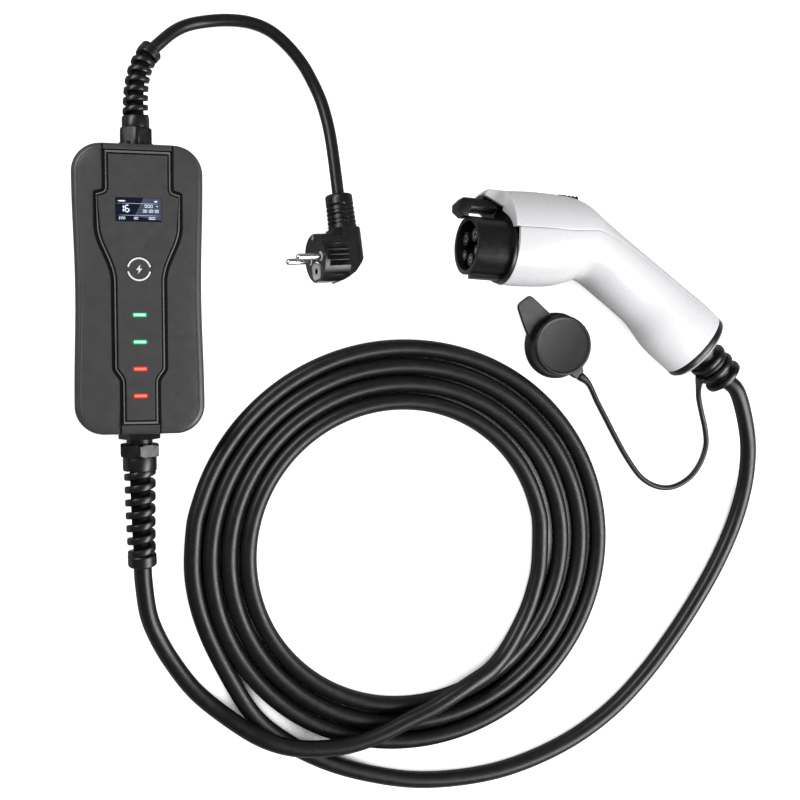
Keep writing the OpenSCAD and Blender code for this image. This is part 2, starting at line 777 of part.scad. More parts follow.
module plug_body() {
    r = plug_d / 2;
    color(black) at_plug() difference() {
        union() {
            intersection() {
                translate([0, 0, -r]) linear_extrude(plug_d) plug_outline();
                union() {
                    rotate([0, 90, 0]) cylinder(r = r, h = barrel_share * plug_l);
                    translate([plug_l / 2, -r - over, -plug_flat])
                        cube([relief_at - plug_l / 2, plug_d + 4 * plug_round, 2 * plug_flat]);
                    translate([relief_at, -r - over, 0]) rotate([-90, 0, 0])
                        cylinder(r = plug_flat, h = plug_d + 4 * plug_round);
                }
            }
            translate([relief_at, 0, 0]) rotate([-90, 0, 0]) rotate_extrude() plug_relief_half();
        }
        for (z = [-1, 1]) translate([guide_w / 2, -guide_w / 2, z * (r - guide_depth) - (z < 0 ? r : 0)])
            cube([plug_l / 2, guide_w, r]);
        for (z = [-1, 1]) translate([-over, 0, z * pin_pitch / 2]) rotate([0, 90, 0]) {
            cylinder(r = root_r + slip, h = pin_root + over);
            cylinder(r = ring_r + slip, h = ring_t + over);
        }
        translate([-over, -earth_at, 0]) rotate([0, 90, 0])
            cylinder(r = earth_hole_r + earth_wall + slip, h = earth_depth + over);
        for (s = [-1, 1]) translate([-over, s * r - (s > 0 ? strip_t : 0) , -strip_w / 2])
            cube([strip_back + over, strip_t + slip, strip_w]);
    }
}

// Half section of the plug's ribbed lead entry, radius against height
module plug_relief_half() {
    top = plug_d / 2 + plug_relief_h;
    foot = plug_d / 2;
    pitch = plug_rib_w + plug_rib_gap;
    difference() {
        polygon([[0, 0], [plug_relief_r, 0], [plug_relief_r, foot + plug_round],
            [plug_relief_end + over, top - plug_round - over], [plug_relief_end + over, top - over],
            [plug_relief_end, top], [0, top]]);
        for (k = [0 : plug_ribs - 1])
            translate([plug_relief_r - plug_rib_depth - k * slip, foot + 2 * plug_round + k * pitch])
                square([plug_relief_r, plug_rib_gap]);
    }
}

module plug_pins() {
    color(steel) at_plug() for (z = [-1, 1])
        translate([pin_root, 0, z * pin_pitch / 2]) rotate([0, -90, 0]) {
            cylinder(r = root_r, h = pin_root + pin_l - pin_round);
            translate([0, 0, pin_root + neck])
                cylinder(r = pin_d / 2, h = pin_l - pin_round - neck);
            translate([0, 0, pin_root + pin_l - pin_round])
                cylinder(r1 = pin_d / 2, r2 = pin_d / 2 - pin_round, h = pin_round);
        }
}

module pin_collars() {
    color(white) at_plug() for (z = [-1, 1]) translate([0, 0, z * pin_pitch / 2])
        rotate([0, 90, 0]) difference() {
            cylinder(r = ring_r, h = ring_t);
            translate([0, 0, -over]) cylinder(r = root_r + slip, h = ring_t + 2 * over);
        }
}

module earth_strips() {
    r = plug_d / 2;
    color(steel) at_plug() for (s = [-1, 1])
        translate([0, s * r - (s > 0 ? strip_t : 0), -strip_w / 2 + slip])
            cube([strip_back - slip, strip_t, strip_w - 2 * slip]);
}

module earth_socket() {
    color(brass) at_plug() translate([0, -earth_at, 0]) rotate([0, 90, 0]) difference() {
        cylinder(r = earth_hole_r + earth_wall, h = earth_depth);
        translate([0, 0, -over]) cylinder(r = earth_hole_r, h = earth_depth - earth_wall + over);
    }
}

// Charging cable
cable_start = relief_end(-1, relief_l, cable_bend_angle, -cable_droop_angle);
cable_way = relief_way(-1, cable_bend_angle, -cable_droop_angle);
lead_in_path = concat([cable_start, cable_start + cable_d * cable_way], lead_in_route);

module cable_lead_in() { color(black) tube(lead_in_path, cable_d / 2, cable_sides); }

module cable_coil() {
    inner = coil_r - cable_d / 2;
    outer = inner + (coil_turns + 0.5) * (cable_d + coil_gap);
    color(black) translate(coil_at) rotate_extrude() translate([inner, 0])
        square([outer - inner, cable_d]);
}

module cable_lead_out() {
    path = concat(lead_out_route, [boot_end + cable_d * boot_way, boot_end]);
    color(black) tube(path, cable_d / 2, cable_sides);
}

// Connector, drawn with its nose along -x, its latch towards +y and its flange at x = 0
module at_gun() { translate(gun_at) rotate(gun_angles) children(); }
module along_nose(x) { translate([x, 0, 0]) rotate([0, 90, 0]) children(); }

// The flange's teardrop outline, as y against z, its peak under the latch
module flange_outline(grow) {
    hull() {
        circle(r = flange_r + grow);
        translate([flange_peak - rim, 0]) circle(r = rim + grow);
    }
}
module across_nose(x) { translate([x, 0, 0]) rotate([90, 0, 90]) children(); }

module nose_shell() {
    color(black) at_gun() difference() {
        union() {
            along_nose(-nose_l) cylinder(r = nose_r, h = nose_l);
            across_nose(-flange_t) linear_extrude(flange_t) flange_outline(0);
            along_nose(-flange_t) cylinder(r = seat_r, h = flange_t + seat_l);
            translate([-key_l, -nose_r - key_t, -key_w / 2]) cube([key_l, nose_r / 2, key_w]);
        }
        along_nose(-nose_l - over) cylinder(r = nose_r - nose_wall, h = nose_l + seat_l + 2 * over);
    }
}

// Contact places in the nose, as [y, z]
power_places = [[power_y, -power_x], [power_y, power_x]];
signal_places = [[signal_y, -signal_x], [signal_y, signal_x]];
earth_places = [[earth_y, 0]];

module contact_row(places, bore) {
    r = bore / 2 + contact_wall;
    for (p = places) translate([0, p[0], p[1]]) difference() {
        along_nose(tower_short - nose_l) cylinder(r = r, h = nose_l - tower_short + contact_tail);
        along_nose(tower_short - nose_l - over) cylinder(r = bore / 2, h = cavity - tower_short + over);
    }
}
module power_contacts() { color(brass) at_gun() contact_row(power_places, power_bore); }
module earth_contact() { color(brass) at_gun() contact_row(earth_places, earth_bore); }
module signal_contacts() { color(brass) at_gun() contact_row(signal_places, signal_bore); }

module towers(places, bore, cut) {
    r = bore / 2 + contact_wall + (cut ? slip : tower_wall);
    for (p = places) translate([0, p[0], p[1]])
        if (cut) along_nose(-nose_l - over) cylinder(r = r, h = nose_l + block_t + 2 * over);
        else along_nose(tower_short - nose_l) cylinder(r = r, h = nose_l - tower_short);
}

module contact_block() {
    color(black) at_gun() difference() {
        union() {
            along_nose(cavity - nose_l) cylinder(r = nose_r - nose_wall - slip, h = block_t);
            towers(power_places, power_bore, false);
            towers(signal_places, signal_bore, false);
            towers(earth_places, earth_bore, false);
        }
        towers(power_places, power_bore, true);
        towers(signal_places, signal_bore, true);
        towers(earth_places, earth_bore, true);
    }
}

// Housing sections: a point of station k at an angle from its top, drawn in by an inset
function high_point(s) = [s[0] * reach, s[1] * front_r, 0];
function low_point(s) = [s[2] * reach, s[3] * front_r, 0];
function middle(s) = low_point(s) + s[4] * (high_point(s) - low_point(s));
function shorter(v, inset) = v * (norm(v) - inset) / norm(v);
function shell_point(s, a, inset) = middle(s)
    + abs(cos(a)) * shorter((cos(a) < 0 ? low_point(s) : high_point(s)) - middle(s), inset)
    + [0, 0, (s[5] * front_r - inset) * sin(a)];
function shell_ring(s, from, to, steps) = concat(
    [for (i = [0 : steps]) shell_point(s, from + (to - from) * i / steps, 0)],
    [for (i = [steps : -1 : 0]) shell_point(s, from + (to - from) * i / steps, shell_wall)]);
function seam_at(k) = seam_angles[k] + (seam_gap / front_r) * (180 / PI);

module lower_housing() {
    color(white) at_gun() wall_skin([for (k = [0 : len(seam_angles) - 1])
        shell_ring(station_shares[k], seam_at(k), whole_angle - seam_at(k), housing_steps)]);
}

module upper_cover() {
    color(white) at_gun() difference() {
        wall_skin([for (k = [0 : len(seam_angles) - 1])
            shell_ring(station_shares[k], -seam_angles[k], seam_angles[k], cover_steps)]);
        translate([button_x - play, 0, -button_w / 2 - play])
            cube([button_l + 2 * play, 2 * front_r, button_w + 2 * play]);
    }
}

// Outline of the housing's front as y against z
front_outline = [for (i = [0 : end_sides - 1])
    let (p = shell_point(station_shares[0], whole_angle * i / end_sides, 0)) [p[1], p[2]]];

// Walls of the hood beside the latch: the near one is cut back in a slope, the far one is deep
module hood_side(s) {
    top = [[-hood_l, hood_top - hood_bevel], [-hood_l + hood_bevel, hood_top], [0, hood_top]];
    translate([0, 0, s > 0 ? tunnel_w / 2 : -tunnel_w / 2 - hood_wall]) linear_extrude(hood_wall)
        polygon(s > 0
            ? concat([[-hood_l, hood_top - hood_bevel - 2 * rim]], top,
                [[0, near_cut[1]], near_cut])
            : concat([[-hood_l, far_cut[2]]], top, [[0, flange_peak + rim],
                [-flange_t - play, flange_peak + rim], [-flange_t - play, nose_r + play],
                [far_cut[0], nose_r + play], [far_cut[0], far_cut[1]]]));
}

module latch_bracket() {
    for (s = [-1, 1]) translate([0, 0, s * (tunnel_w + ear_t) / 2 - ear_t / 2])
        linear_extrude(ear_t) polygon([[-rim, hood_top - 2 * hood_wall], [ear_l, hood_top - 2 * hood_wall],
            [ear_l + ear_t, rail_top], [rail_end, rail_top], [rail_end, floor_y - floor_t],
            [seat_l + rim, floor_y - floor_t], [seat_l + rim, seat_r + floor_t],
            [-rim, flange_r + floor_t]]);
    translate([seat_l + rim, floor_y - floor_t, -tunnel_w / 2 - ear_t])
        cube([rail_end - seat_l - rim, floor_t, tunnel_w + 2 * ear_t]);
}

module latch_hood() {
    color(white) at_gun() difference() {
        union() {
            intersection() {
                union() {
                    translate([-flange_t, front_seam, -2 * front_r]) cube([flange_t, 2 * front_r, 4 * front_r]);
                    translate([0, 0, -tunnel_w / 2]) linear_extrude(tunnel_w)
                        polygon([[-hood_l, hood_top - hood_bevel], [-hood_l + hood_bevel, hood_top],
                            [0, hood_top], [0, latch_y], [-hood_l, latch_y]]);
                    for (s = [-1, 1]) hood_side(s);
                }
                across_nose(-hood_l - over) linear_extrude(hood_l + over) polygon(front_outline);
            }
            latch_bracket();
        }
        across_nose(-flange_t - over) linear_extrude(flange_t + over) flange_outline(play);
        translate([-hood_l - over, flange_peak - flange_t, -tunnel_w / 2])
            cube([hood_l + 2 * ear_l, latch_y + arm_up + roof_gap - flange_peak + flange_t, tunnel_w]);
        translate([-hood_l - over, nose_r, -tunnel_w / 2]) cube([hood_l - flange_t + over, nose_r / 2, tunnel_w]);
        translate([pivot_x, latch_y, 0]) cylinder(r = pivot_d / 2 + slip, h = box_w, center = true);
    }
}

module latch_arm() {
    front = -nose_l - hook_reach;
    tip = arm_low - hook_drop;
    color(black) at_gun() translate([0, latch_y, 0]) difference() {
        union() {
            intersection() {
                translate([0, 0, -latch_w / 2]) linear_extrude(latch_w) polygon([
                    [front + hook_bevel, arm_up], [front, arm_up - hook_bevel], [front, tip + hook_bevel - rim],
                    [front + hook_bevel, tip], [front + hook_t, tip], [front + hook_t, arm_low - hook_round],
                    [front + hook_t + 2 * hook_round, arm_low], [arm_end - 2 * hook_round, arm_low],
                    [arm_end, arm_low + 2 * hook_round], [arm_end, arm_up]]);
                across_nose(front - over) linear_extrude(-front + over)
                    polygon([[tip - over, -latch_w / 2], [arm_up - edge_bevel, -latch_w / 2],
                        [arm_up, edge_bevel - latch_w / 2], [arm_up, latch_w / 2 - edge_bevel],
                        [arm_up - edge_bevel, latch_w / 2], [tip - over, latch_w / 2]]);
            }
            translate([arm_end - over, arm_up - neck_t, edge_bevel - latch_w / 2])
                cube([tail_end - arm_end + over, neck_t, latch_w - 2 * edge_bevel]);
            translate([pivot_x, 0, 0]) cylinder(r = pivot_boss, h = latch_w, center = true);
        }
        for (s = [-1, 1]) scale([1, 1, s]) across_nose(front + hook_t + 2 * hook_round)
            linear_extrude(arm_end - front - hook_t - 2 * hook_round + over)
                polygon([[arm_low - over, latch_w / 2 - under_bevel[1]], [arm_low, latch_w / 2 - under_bevel[1]],
                    [arm_low + under_bevel[0], latch_w / 2 + slip], [arm_low + under_bevel[0], latch_w],
                    [arm_low - over, latch_w]]);
        translate([pivot_x, 0, 0]) cylinder(r = pivot_d / 2 + slip, h = 2 * latch_w, center = true);
    }
}

module pivot_pin() {
    color(steel) at_gun() translate([pivot_x, latch_y, 0])
        cylinder(r = pivot_d / 2, h = tunnel_w + 2 * ear_t, center = true);
}

module latch_spring() {
    n = spring_turns * spring_steps;
    low = floor_y + spring_wire + slip;
    high = latch_y + arm_up - neck_t - spring_wire - slip;
    path = [for (k = [0 : n]) let (a = whole_angle * k / spring_steps)
        [spring_x + spring_r * cos(a), low + (high - low) * k / n, spring_r * sin(a)]];
    color(steel) at_gun() skin([for (k = [0 : n])
        let (t = ahead(path, k), s = unit(cross(t, [0, 1, 0])), u = cross(s, t))
        [for (i = [0 : 3]) path[k] + spring_wire * (cos(right_angle * i) * s - sin(right_angle * i) * u)]]);
}

module release_button() {
    tail_top = latch_y + arm_up;
    foot = tail_top + button_lift;
    rear = button_x + button_l;
    color(black) at_gun() difference() {
        union() {
            translate([0, 0, -button_w / 2]) linear_extrude(button_w)
                polygon([[button_x, foot], [rear, foot], [rear, button_top - rear_drop],
                    [rear - rim, button_top], [button_x, button_top]]);
            translate([tail_end - leg_t, tail_top + play, edge_bevel - latch_w / 2])
                cube([leg_t, button_lift, latch_w - 2 * edge_bevel]);
            translate([button_x - skirt, foot, -button_w / 2 - skirt])
                cube([skirt_l, skirt_t, button_w + 2 * skirt]);
        }
        for (k = [0 : button_ribs - 1])
            translate([rear - rim - rib_groove - (k + 0.5) * rib_pitch, button_top - rim, -button_w])
                cube([rib_groove, 2 * rim, 2 * button_w]);
    }
}

module latch_switch() {
    color(soft_black) at_gun() translate([switch_x, floor_y, 0]) {
        translate([0, 0, -switch_size[2] / 2]) cube(switch_size);
        translate([switch_size[0] * 0.75, switch_size[1] - over, 0]) rotate([-90, 0, 0])
            cylinder(r = plunger_r, h = plunger_h + over);
    }
}

// Housing's cable end: its middle, and the way it faces
end_station = last(station_shares);
end_middle = (high_point(end_station) + low_point(end_station)) / 2;
end_up = unit(high_point(end_station) - low_point(end_station));
end_way = [end_up[1], -end_up[0], 0];
end_angle = atan2(end_way[1], end_way[0]);
boot_start = gun_at + turned(end_middle + collar_t * end_way, gun_angles);
boot_way = turned(end_way, gun_angles);
boot_end = boot_start + boot_l * boot_way;
module at_end() { at_gun() translate(end_middle) rotate([0, 0, end_angle]) rotate([0, 90, 0]) children(); }

function end_ring(inset, x) = [for (i = [0 : end_sides - 1]) let (a = -whole_angle * i / end_sides)
    shell_point(end_station, a, inset) + x * end_way];

module end_collar() {
    color(black) at_gun() difference() {
        skin([end_ring(play, 0), end_ring(play, collar_t * 0.7), end_ring(shell_wall, collar_t - slip),
            end_ring(2 * shell_wall, collar_t)]);
        translate(end_middle) rotate([0, 0, end_angle]) along_nose(-over)
            cylinder(r = spigot_r + slip, h = collar_t + 2 * over);
    }
}

module boot_half() {
    pitch = boot_l / boot_ribs;
    polygon(concat([[0, -spigot_l], [spigot_r, -spigot_l], [spigot_r, 0]],
        [for (k = [0 : boot_ribs - 1]) each [[boot_r - over, k * pitch],
            [boot_r, k * pitch + pitch / 6], [boot_r, k * pitch + pitch / 3],
            [boot_r - over, k * pitch + pitch / 2], [boot_r - boot_groove, k * pitch + pitch / 2],
            [boot_r - boot_groove, (k + 1) * pitch - (k == boot_ribs - 1 ? over : 0)]]],
        [[boot_r - boot_groove - over, boot_l], [0, boot_l]]));
}
module cable_boot() {
    color(black) at_end() translate([0, 0, collar_t]) rotate_extrude() boot_half();
}

// Clamp inside the housing that holds the cable, with its two screws
module cable_clamp() {
    color(soft_black) at_end() translate([0, 0, -clamp_back]) difference() {
        cylinder(r = clamp_r, h = clamp_t);
        translate([0, 0, -over]) cylinder(r = cable_d / 2, h = clamp_t + 2 * over);
        for (s = [-1, 1]) translate([0, s * bolt_at, -over])
            cylinder(r = bolt_r + slip, h = clamp_t + 2 * over);
    }
}
module clamp_screws() {
    color(steel) at_end() for (s = [-1, 1]) translate([0, s * bolt_at, -clamp_back]) {
        cylinder(r = bolt_r, h = clamp_t);
        translate([0, 0, clamp_t]) cylinder(r = bolt_head_r, h = bolt_head_t);
    }
}

// Dust cap, lying open side down, with its thumb tab and its strap lug
cap_r = cap_d / 2;
cup_r = nose_r + play;
module cap_half() {
    polygon([[0, cap_h], [cup_r - cap_top, cap_h], [cup_r + cap_wall, cap_h - cap_top],
        [cup_r + cap_wall, cap_bead + cap_wall], [cap_r, cap_bead], [cap_r, 0], [cup_r, 0],
        [cup_r, cap_h - cap_top], [0, cap_h - cap_top]]);
}
module dust_cap() {
    side = cup_r + cap_wall / 2;
    color(soft_black) translate(cap_at) {
        rotate_extrude() cap_half();
        rotate([0, 0, tab_angle]) translate([side, 0, cap_h / 2]) linear_extrude(tab_t) polygon([
            [0, -tab_w / 2], [tab_l, -tab_end / 2], [tab_l + tab_t, -tab_end / 3],
            [tab_l + tab_t, tab_end / 3], [tab_l, tab_end / 2], [0, tab_w / 2]]);
        rotate([0, 0, lug_angle]) translate([side, -lug_size[1] / 2, 0]) cube(lug_size);
    }
}

// Ring that slips over the boot, and the strap from it to the cap's lug
groove_at = boot_l / boot_ribs * 0.75;
module tether_ring() {
    inner = boot_r - boot_groove + play;
    width = boot_l / boot_ribs / 2 - 2 * play;
    color(black) at_end() translate([0, 0, collar_t + groove_at - width / 2]) difference() {
        cylinder(r = inner + tether_wall, h = width);
        translate([0, 0, -over]) cylinder(r = inner, h = width + 2 * over);
    }
}

strap_start = cap_at + [0, 0, lug_size[2] / 2]
    + spin([cup_r + cap_wall / 2 + lug_size[0], 0, 0], lug_angle);
strap_way = turned(-end_up, gun_angles);
strap_end = boot_start + groove_at * boot_way
    + (boot_r - boot_groove + 2 * play + tether_wall) * strap_way;
module cap_tether() {
    path = concat([strap_start], strap_route, [strap_end + strap_d * strap_way, strap_end]);
    color(black) tube(path, strap_d / 2, strap_sides);
}

box_base();
box_cover();
cover_seal();
front_panel();
display_window();
display_module();
touch_key();
green_lamps();
red_lamps();
control_board();
relays();
current_sensor();
terminal_block();
board_screws();
cover_screws();
mains_gland();
mains_lock_nut();
mains_bush();
mains_relief();
cable_gland();
cable_lock_nut();
cable_bush();
cable_relief();
mains_lead();
plug_body();
plug_pins();
pin_collars();
earth_strips();
earth_socket();
cable_lead_in();
cable_coil();
cable_lead_out();
nose_shell();
contact_block();
power_contacts();
earth_contact();
signal_contacts();
lower_housing();
upper_cover();
latch_hood();
latch_arm();
pivot_pin();
latch_spring();
release_button();
latch_switch();
cable_clamp();
clamp_screws();
end_collar();
cable_boot();
dust_cap();
tether_ring();
cap_tether();
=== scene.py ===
# %% [markdown]
# # A portable charger for an electric car, dressed in Blender
# The charger lies flat and is seen from almost straight above: a charcoal control box, a short
# mains lead with a plug, and a long charging cable in a coil that ends in a white connector with
# a black nose. Its solids come from CAD, in millimetres turned to metres. This script keeps their
# places and gives them their finishes, and rebuilds the forms that need a smoother surface than
# the solids have.

# %% The frame
import math
import bmesh
import bpy
import numpy as np
from mathutils import Euler, Matrix, Vector


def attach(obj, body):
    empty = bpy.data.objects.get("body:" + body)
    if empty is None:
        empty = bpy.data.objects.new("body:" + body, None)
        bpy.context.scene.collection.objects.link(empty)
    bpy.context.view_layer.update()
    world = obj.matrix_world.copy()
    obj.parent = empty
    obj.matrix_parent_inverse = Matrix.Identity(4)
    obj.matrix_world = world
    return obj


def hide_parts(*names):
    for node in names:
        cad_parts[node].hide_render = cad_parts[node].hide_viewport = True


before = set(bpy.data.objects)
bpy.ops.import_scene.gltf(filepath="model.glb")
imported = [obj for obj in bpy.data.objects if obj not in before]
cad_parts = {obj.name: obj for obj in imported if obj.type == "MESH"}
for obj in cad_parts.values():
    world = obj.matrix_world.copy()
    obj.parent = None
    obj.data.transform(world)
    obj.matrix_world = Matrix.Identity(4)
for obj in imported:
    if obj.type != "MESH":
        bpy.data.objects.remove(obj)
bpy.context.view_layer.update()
MM = 0.001

# %% [markdown]
# ## The camera
# The photograph was taken from above the box, a little to the left of it, so the box shows no
# side and the connector shows the mouth of its nose. A camera object looks along its own -Z with
# its own +Y up, so its matrix is built from the three directions. The lens is in millimetres on
# a 36 mm sensor.

# %% The camera
camera_at = np.array([-0.035, -0.030, 0.880])
camera_aim = np.array([0.200, -0.082, 0.0])
SENSOR_MM = 36
FRAME_PX = 800
FOCAL_PX = 1168


def unit(v):
    v = np.asarray(v, float)
    return v / np.linalg.norm(v)


ahead = unit(camera_aim - camera_at)
right = unit(np.cross(ahead, (0, 1, 0)))
up = np.cross(right, ahead)
camera = bpy.data.objects.new("camera", bpy.data.cameras.new("camera"))
bpy.context.scene.collection.objects.link(camera)
camera.data.sensor_width = SENSOR_MM
camera.data.lens = SENSOR_MM * FOCAL_PX / FRAME_PX
camera.data.clip_start = 0.01
camera.matrix_world = Matrix((
    (right[0], up[0], -ahead[0], camera_at[0]),
    (right[1], up[1], -ahead[1], camera_at[1]),
    (right[2], up[2], -ahead[2], camera_at[2]),
    (0, 0, 0, 1)))
bpy.context.scene.camera = camera
print("camera: lens %.1f mm" % camera.data.lens)

# %% [markdown]
# ## Finishes
# Every finish is a Principled shader whose colour, roughness and bump come from noise on Object
# coordinates, because all pieces sit at the origin and share one space. The blacks are very dark,
# so that the highlights of the two lamps give the round forms their shape.

# %% Helpers for materials
def linear(c):
    """One sRGB channel, as read off a screen, to the linear value that a shader takes."""
    return c / 12.92 if c <= 0.04045 else ((c + 0.055) / 1.055) ** 2.4


def colour(*rgb):
    return tuple(linear(c / 255) for c in rgb) + (1.0,)


class Finish:
    """A material under construction: nodes are added by name and linked by socket."""

    def __init__(self, name, base, rough, specular=0.5, metal=0.0, coat=0.0, coat_rough=0.1):
        self.material = bpy.data.materials.new(name)
        self.material.use_nodes = True
        self.nodes = self.material.node_tree.nodes
        self.links = self.material.node_tree.links
        self.shader = self.nodes["Principled BSDF"]
        self.set(self.shader, **{"Base Color": base, "Roughness": rough, "Metallic": metal,
                                 "Specular IOR Level": specular, "Coat Weight": coat,
                                 "Coat Roughness": coat_rough})
        self.place = self.nodes.new("ShaderNodeTexCoord").outputs["Object"]

    def set(self, node, **values):
        for label, value in values.items():
            node.inputs[label].default_value = value

    def add(self, kind, **values):
        node = self.nodes.new("ShaderNode" + kind)
        self.set(node, **values)
        return node

    def link(self, a, b):
        self.links.new(a, b)

    def noise(self, size_mm, detail=2.0):
        node = self.add("TexNoise", Scale=1 / (size_mm * MM), Detail=detail)
        self.link(self.place, node.inputs["Vector"])
        return node.outputs["Fac"]

    def spread(self, fac, low, high):
        """Maps a 0 to 1 noise, whose values crowd round the middle, to a range."""
        node = self.add("MapRange", **{"From Min": 0.3, "From Max": 0.7, "To Min": low, "To Max": high})
        self.link(fac, node.inputs["Value"])
        return node.outputs["Result"]

    def mottle(self, size_mm, share, base):
        """Base colour that varies by a share round its value."""
        dark = tuple(c * (1 - share) for c in base[:3]) + (1.0,)
        light = tuple(min(1.0, c * (1 + share)) for c in base[:3]) + (1.0,)
        mix = self.add("Mix")
        mix.data_type = "RGBA"
        mix.inputs[6].default_value = dark
        mix.inputs[7].default_value = light
        self.link(self.spread(self.noise(size_mm), 0, 1), mix.inputs[0])
        self.link(mix.outputs[2], self.shader.inputs["Base Color"])

    def uneven(self, size_mm, low, high):
        """Roughness that varies from place to place."""
        self.link(self.spread(self.noise(size_mm), low, high), self.shader.inputs["Roughness"])

    def grain(self, size_mm, depth_mm, strength=1.0, detail=2.0):
        """A fine bump."""
        bump = self.add("Bump", Strength=strength, Distance=depth_mm * MM)
        self.link(self.noise(size_mm, detail), bump.inputs["Height"])
        self.link(bump.outputs["Normal"], self.shader.inputs["Normal"])


# %% Plastics, rubber and metals
def plastic(name, rgb, rough, specular, mottle=0.08, grain_mm=0.5, depth_mm=0.02, coat=0.0):
    base = colour(*rgb)
    f = Finish(name, base, sum(rough) / 2, specular, coat=coat)
    f.mottle(9, mottle, base)
    f.uneven(5, *rough)
    f.grain(grain_mm, depth_mm)
    return f.material


def metal(name, rgb, rough, grain_mm=0.6, depth_mm=0.01):
    base = colour(*rgb)
    f = Finish(name, base, sum(rough) / 2, metal=1.0)
    f.mottle(4, 0.05, base)
    f.uneven(3, *rough)
    f.grain(grain_mm, depth_mm)
    return f.material


charcoal = plastic("charcoal_grain_plastic", (62, 62, 62), (0.34, 0.44), 0.45,
                   grain_mm=0.45, depth_mm=0.012)
# A lighter grey than the charcoal: a painted highlight along the panel's ridge.
painted_highlight_grey = plastic("painted_highlight_grain_plastic", (104, 104, 104), (0.34, 0.44), 0.5,
                     grain_mm=0.45, depth_mm=0.012)
# A near-black with little shine: painted shade in the panel's moat and groove and on the reliefs' cores.
painted_shade_black = plastic("painted_shade_black_plastic", (7, 7, 7), (0.6, 0.75), 0.12)
satin_black = plastic("satin_black_nylon", (13, 13, 14), (0.3, 0.4), 0.5, depth_mm=0.008)
soft_black = plastic("soft_black_rubber", (18, 18, 19), (0.4, 0.5), 0.45,
                     grain_mm=0.8, depth_mm=0.015)
cable_black = plastic("black_cable_sheath", (13, 13, 14), (0.32, 0.42), 0.45,
                      grain_mm=1.2, depth_mm=0.01)
white_gloss = plastic("white_gloss_shell", (214, 214, 216), (0.27, 0.3), 0.5, mottle=0.002,
                      grain_mm=0.6, depth_mm=0.0004, coat=0.4)
pale_plastic = plastic("pale_plastic", (228, 228, 229), (0.35, 0.45), 0.5, mottle=0.03)
board_green = plastic("board_green", (38, 92, 60), (0.4, 0.5), 0.5)
bright_steel = metal("bright_steel", (225, 226, 228), (0.2, 0.26), depth_mm=0.002)
plated = metal("plated_contact", (205, 203, 196), (0.22, 0.32), depth_mm=0.002)
window_glass = plastic("display_window_gloss", (12, 17, 34), (0.05, 0.09), 0.5, mottle=0.03,
                       grain_mm=4, depth_mm=0.002)


def glowing(name, rgb, strength):
    base = colour(*rgb)
    f = Finish(name, base, 0.35)
    f.mottle(1.5, 0.15, base)
    f.set(f.shader, **{"Emission Color": base, "Emission Strength": strength})
    return f.material


green_glow = glowing("green_lamp_lens", (150, 250, 200), 0.7)
green_rim = glowing("green_lamp_rim", (20, 120, 70), 0.35)
red_glow = glowing("red_lamp_lens", (245, 110, 90), 0.6)
red_rim = glowing("red_lamp_rim", (165, 30, 30), 0.35)
screen_white = glowing("screen_numbers", (205, 218, 235), 0.45)
# A lighter blue-grey: a painted reflection on the display's glass.
screen_painted_reflection = plastic("screen_painted_reflection", (66, 74, 92), (0.12, 0.2), 0.5, mottle=0.12,
                       grain_mm=4, depth_mm=0.002)
lip_grey = plastic("lip_grey_plastic", (176, 176, 177), (0.35, 0.45), 0.5, mottle=0.03)
print_white = plastic("white_print", (226, 226, 226), (0.45, 0.55), 0.4, mottle=0.03)
print("materials:", len(bpy.data.materials))

# %% Finishes of the CAD nodes
def dress(material, *nodes):
    for name in nodes:
        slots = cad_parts[name].data.materials
        slots.clear()
        slots.append(material)


dress(charcoal, "box_base", "box_cover", "front_panel", "touch_key")
dress(window_glass, "display_window")
dress(green_glow, "green_lamps")
dress(red_glow, "red_lamps")
dress(board_green, "control_board")
dress(pale_plastic, "terminal_block", "pin_collars")
dress(soft_black, "cover_seal", "mains_bush", "cable_bush", "dust_cap", "tether_ring", "cap_tether",
      "cable_clamp", "relays", "current_sensor", "display_module", "latch_switch")
dress(satin_black, "mains_gland", "mains_lock_nut", "mains_relief", "cable_gland", "cable_lock_nut",
      "cable_relief", "plug_body", "nose_shell", "contact_block", "latch_arm", "release_button",
      "end_collar", "cable_boot")
dress(cable_black, "mains_lead", "cable_lead_in", "cable_coil", "cable_lead_out")
dress(white_gloss, "lower_housing", "upper_cover", "latch_hood")
dress(bright_steel, "plug_pins", "earth_strips", "pivot_pin", "latch_spring", "board_screws",
      "cover_screws", "clamp_screws")
dress(plated, "earth_socket", "power_contacts", "earth_contact", "signal_contacts")
print("finished CAD nodes:", sum(bool(o.data.materials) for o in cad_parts.values()))

# %% [markdown]
# ## Cords
# A cord is a line with a round section. The line goes through a few points that were chosen to
# follow the photograph, and a Catmull-Rom curve makes it smooth. Its ends are where the CAD source
# has them, but for the strap's, which sits a little further along the boot. Geometry Nodes turn
# the line into a tube: Mesh to Curve reads it, and Curve to Mesh sweeps a circle along it, scaled
# by the line's "girth". The tree's inputs are named, so one tree can make many cords.

# %% A smooth line through a few points
def through(table, steps):
    """Catmull-Rom curve through the rows of a table, in so many steps from row to row."""
    p = np.vstack([2 * table[0] - table[1], table, 2 * table[-1] - table[-2]])
    t = np.arange(steps)[:, None] / steps
    parts = [0.5 * (2 * b + (c - a) * t + (2 * a - 5 * b + 4 * c - d) * t ** 2
                    + (3 * b - a - 3 * c + d) * t ** 3)
             for a, b, c, d in zip(p, p[1:], p[2:], p[3:])]
    return np.vstack(parts + [table[-1:]])


def smooth_line(points, step_mm):
    """The curve through points in mm, resampled to even steps."""
    line = through(np.asarray(points, float), 24)
    at = np.concatenate([[0], np.cumsum(np.linalg.norm(np.diff(line, axis=0), axis=1))])
    want = np.linspace(0, at[-1], max(2, int(round(at[-1] / step_mm)) + 1))
    return np.stack([np.interp(want, at, line[:, k]) for k in range(3)], 1)


def length_of(line):
    return float(np.linalg.norm(np.diff(line, axis=0), axis=1).sum())


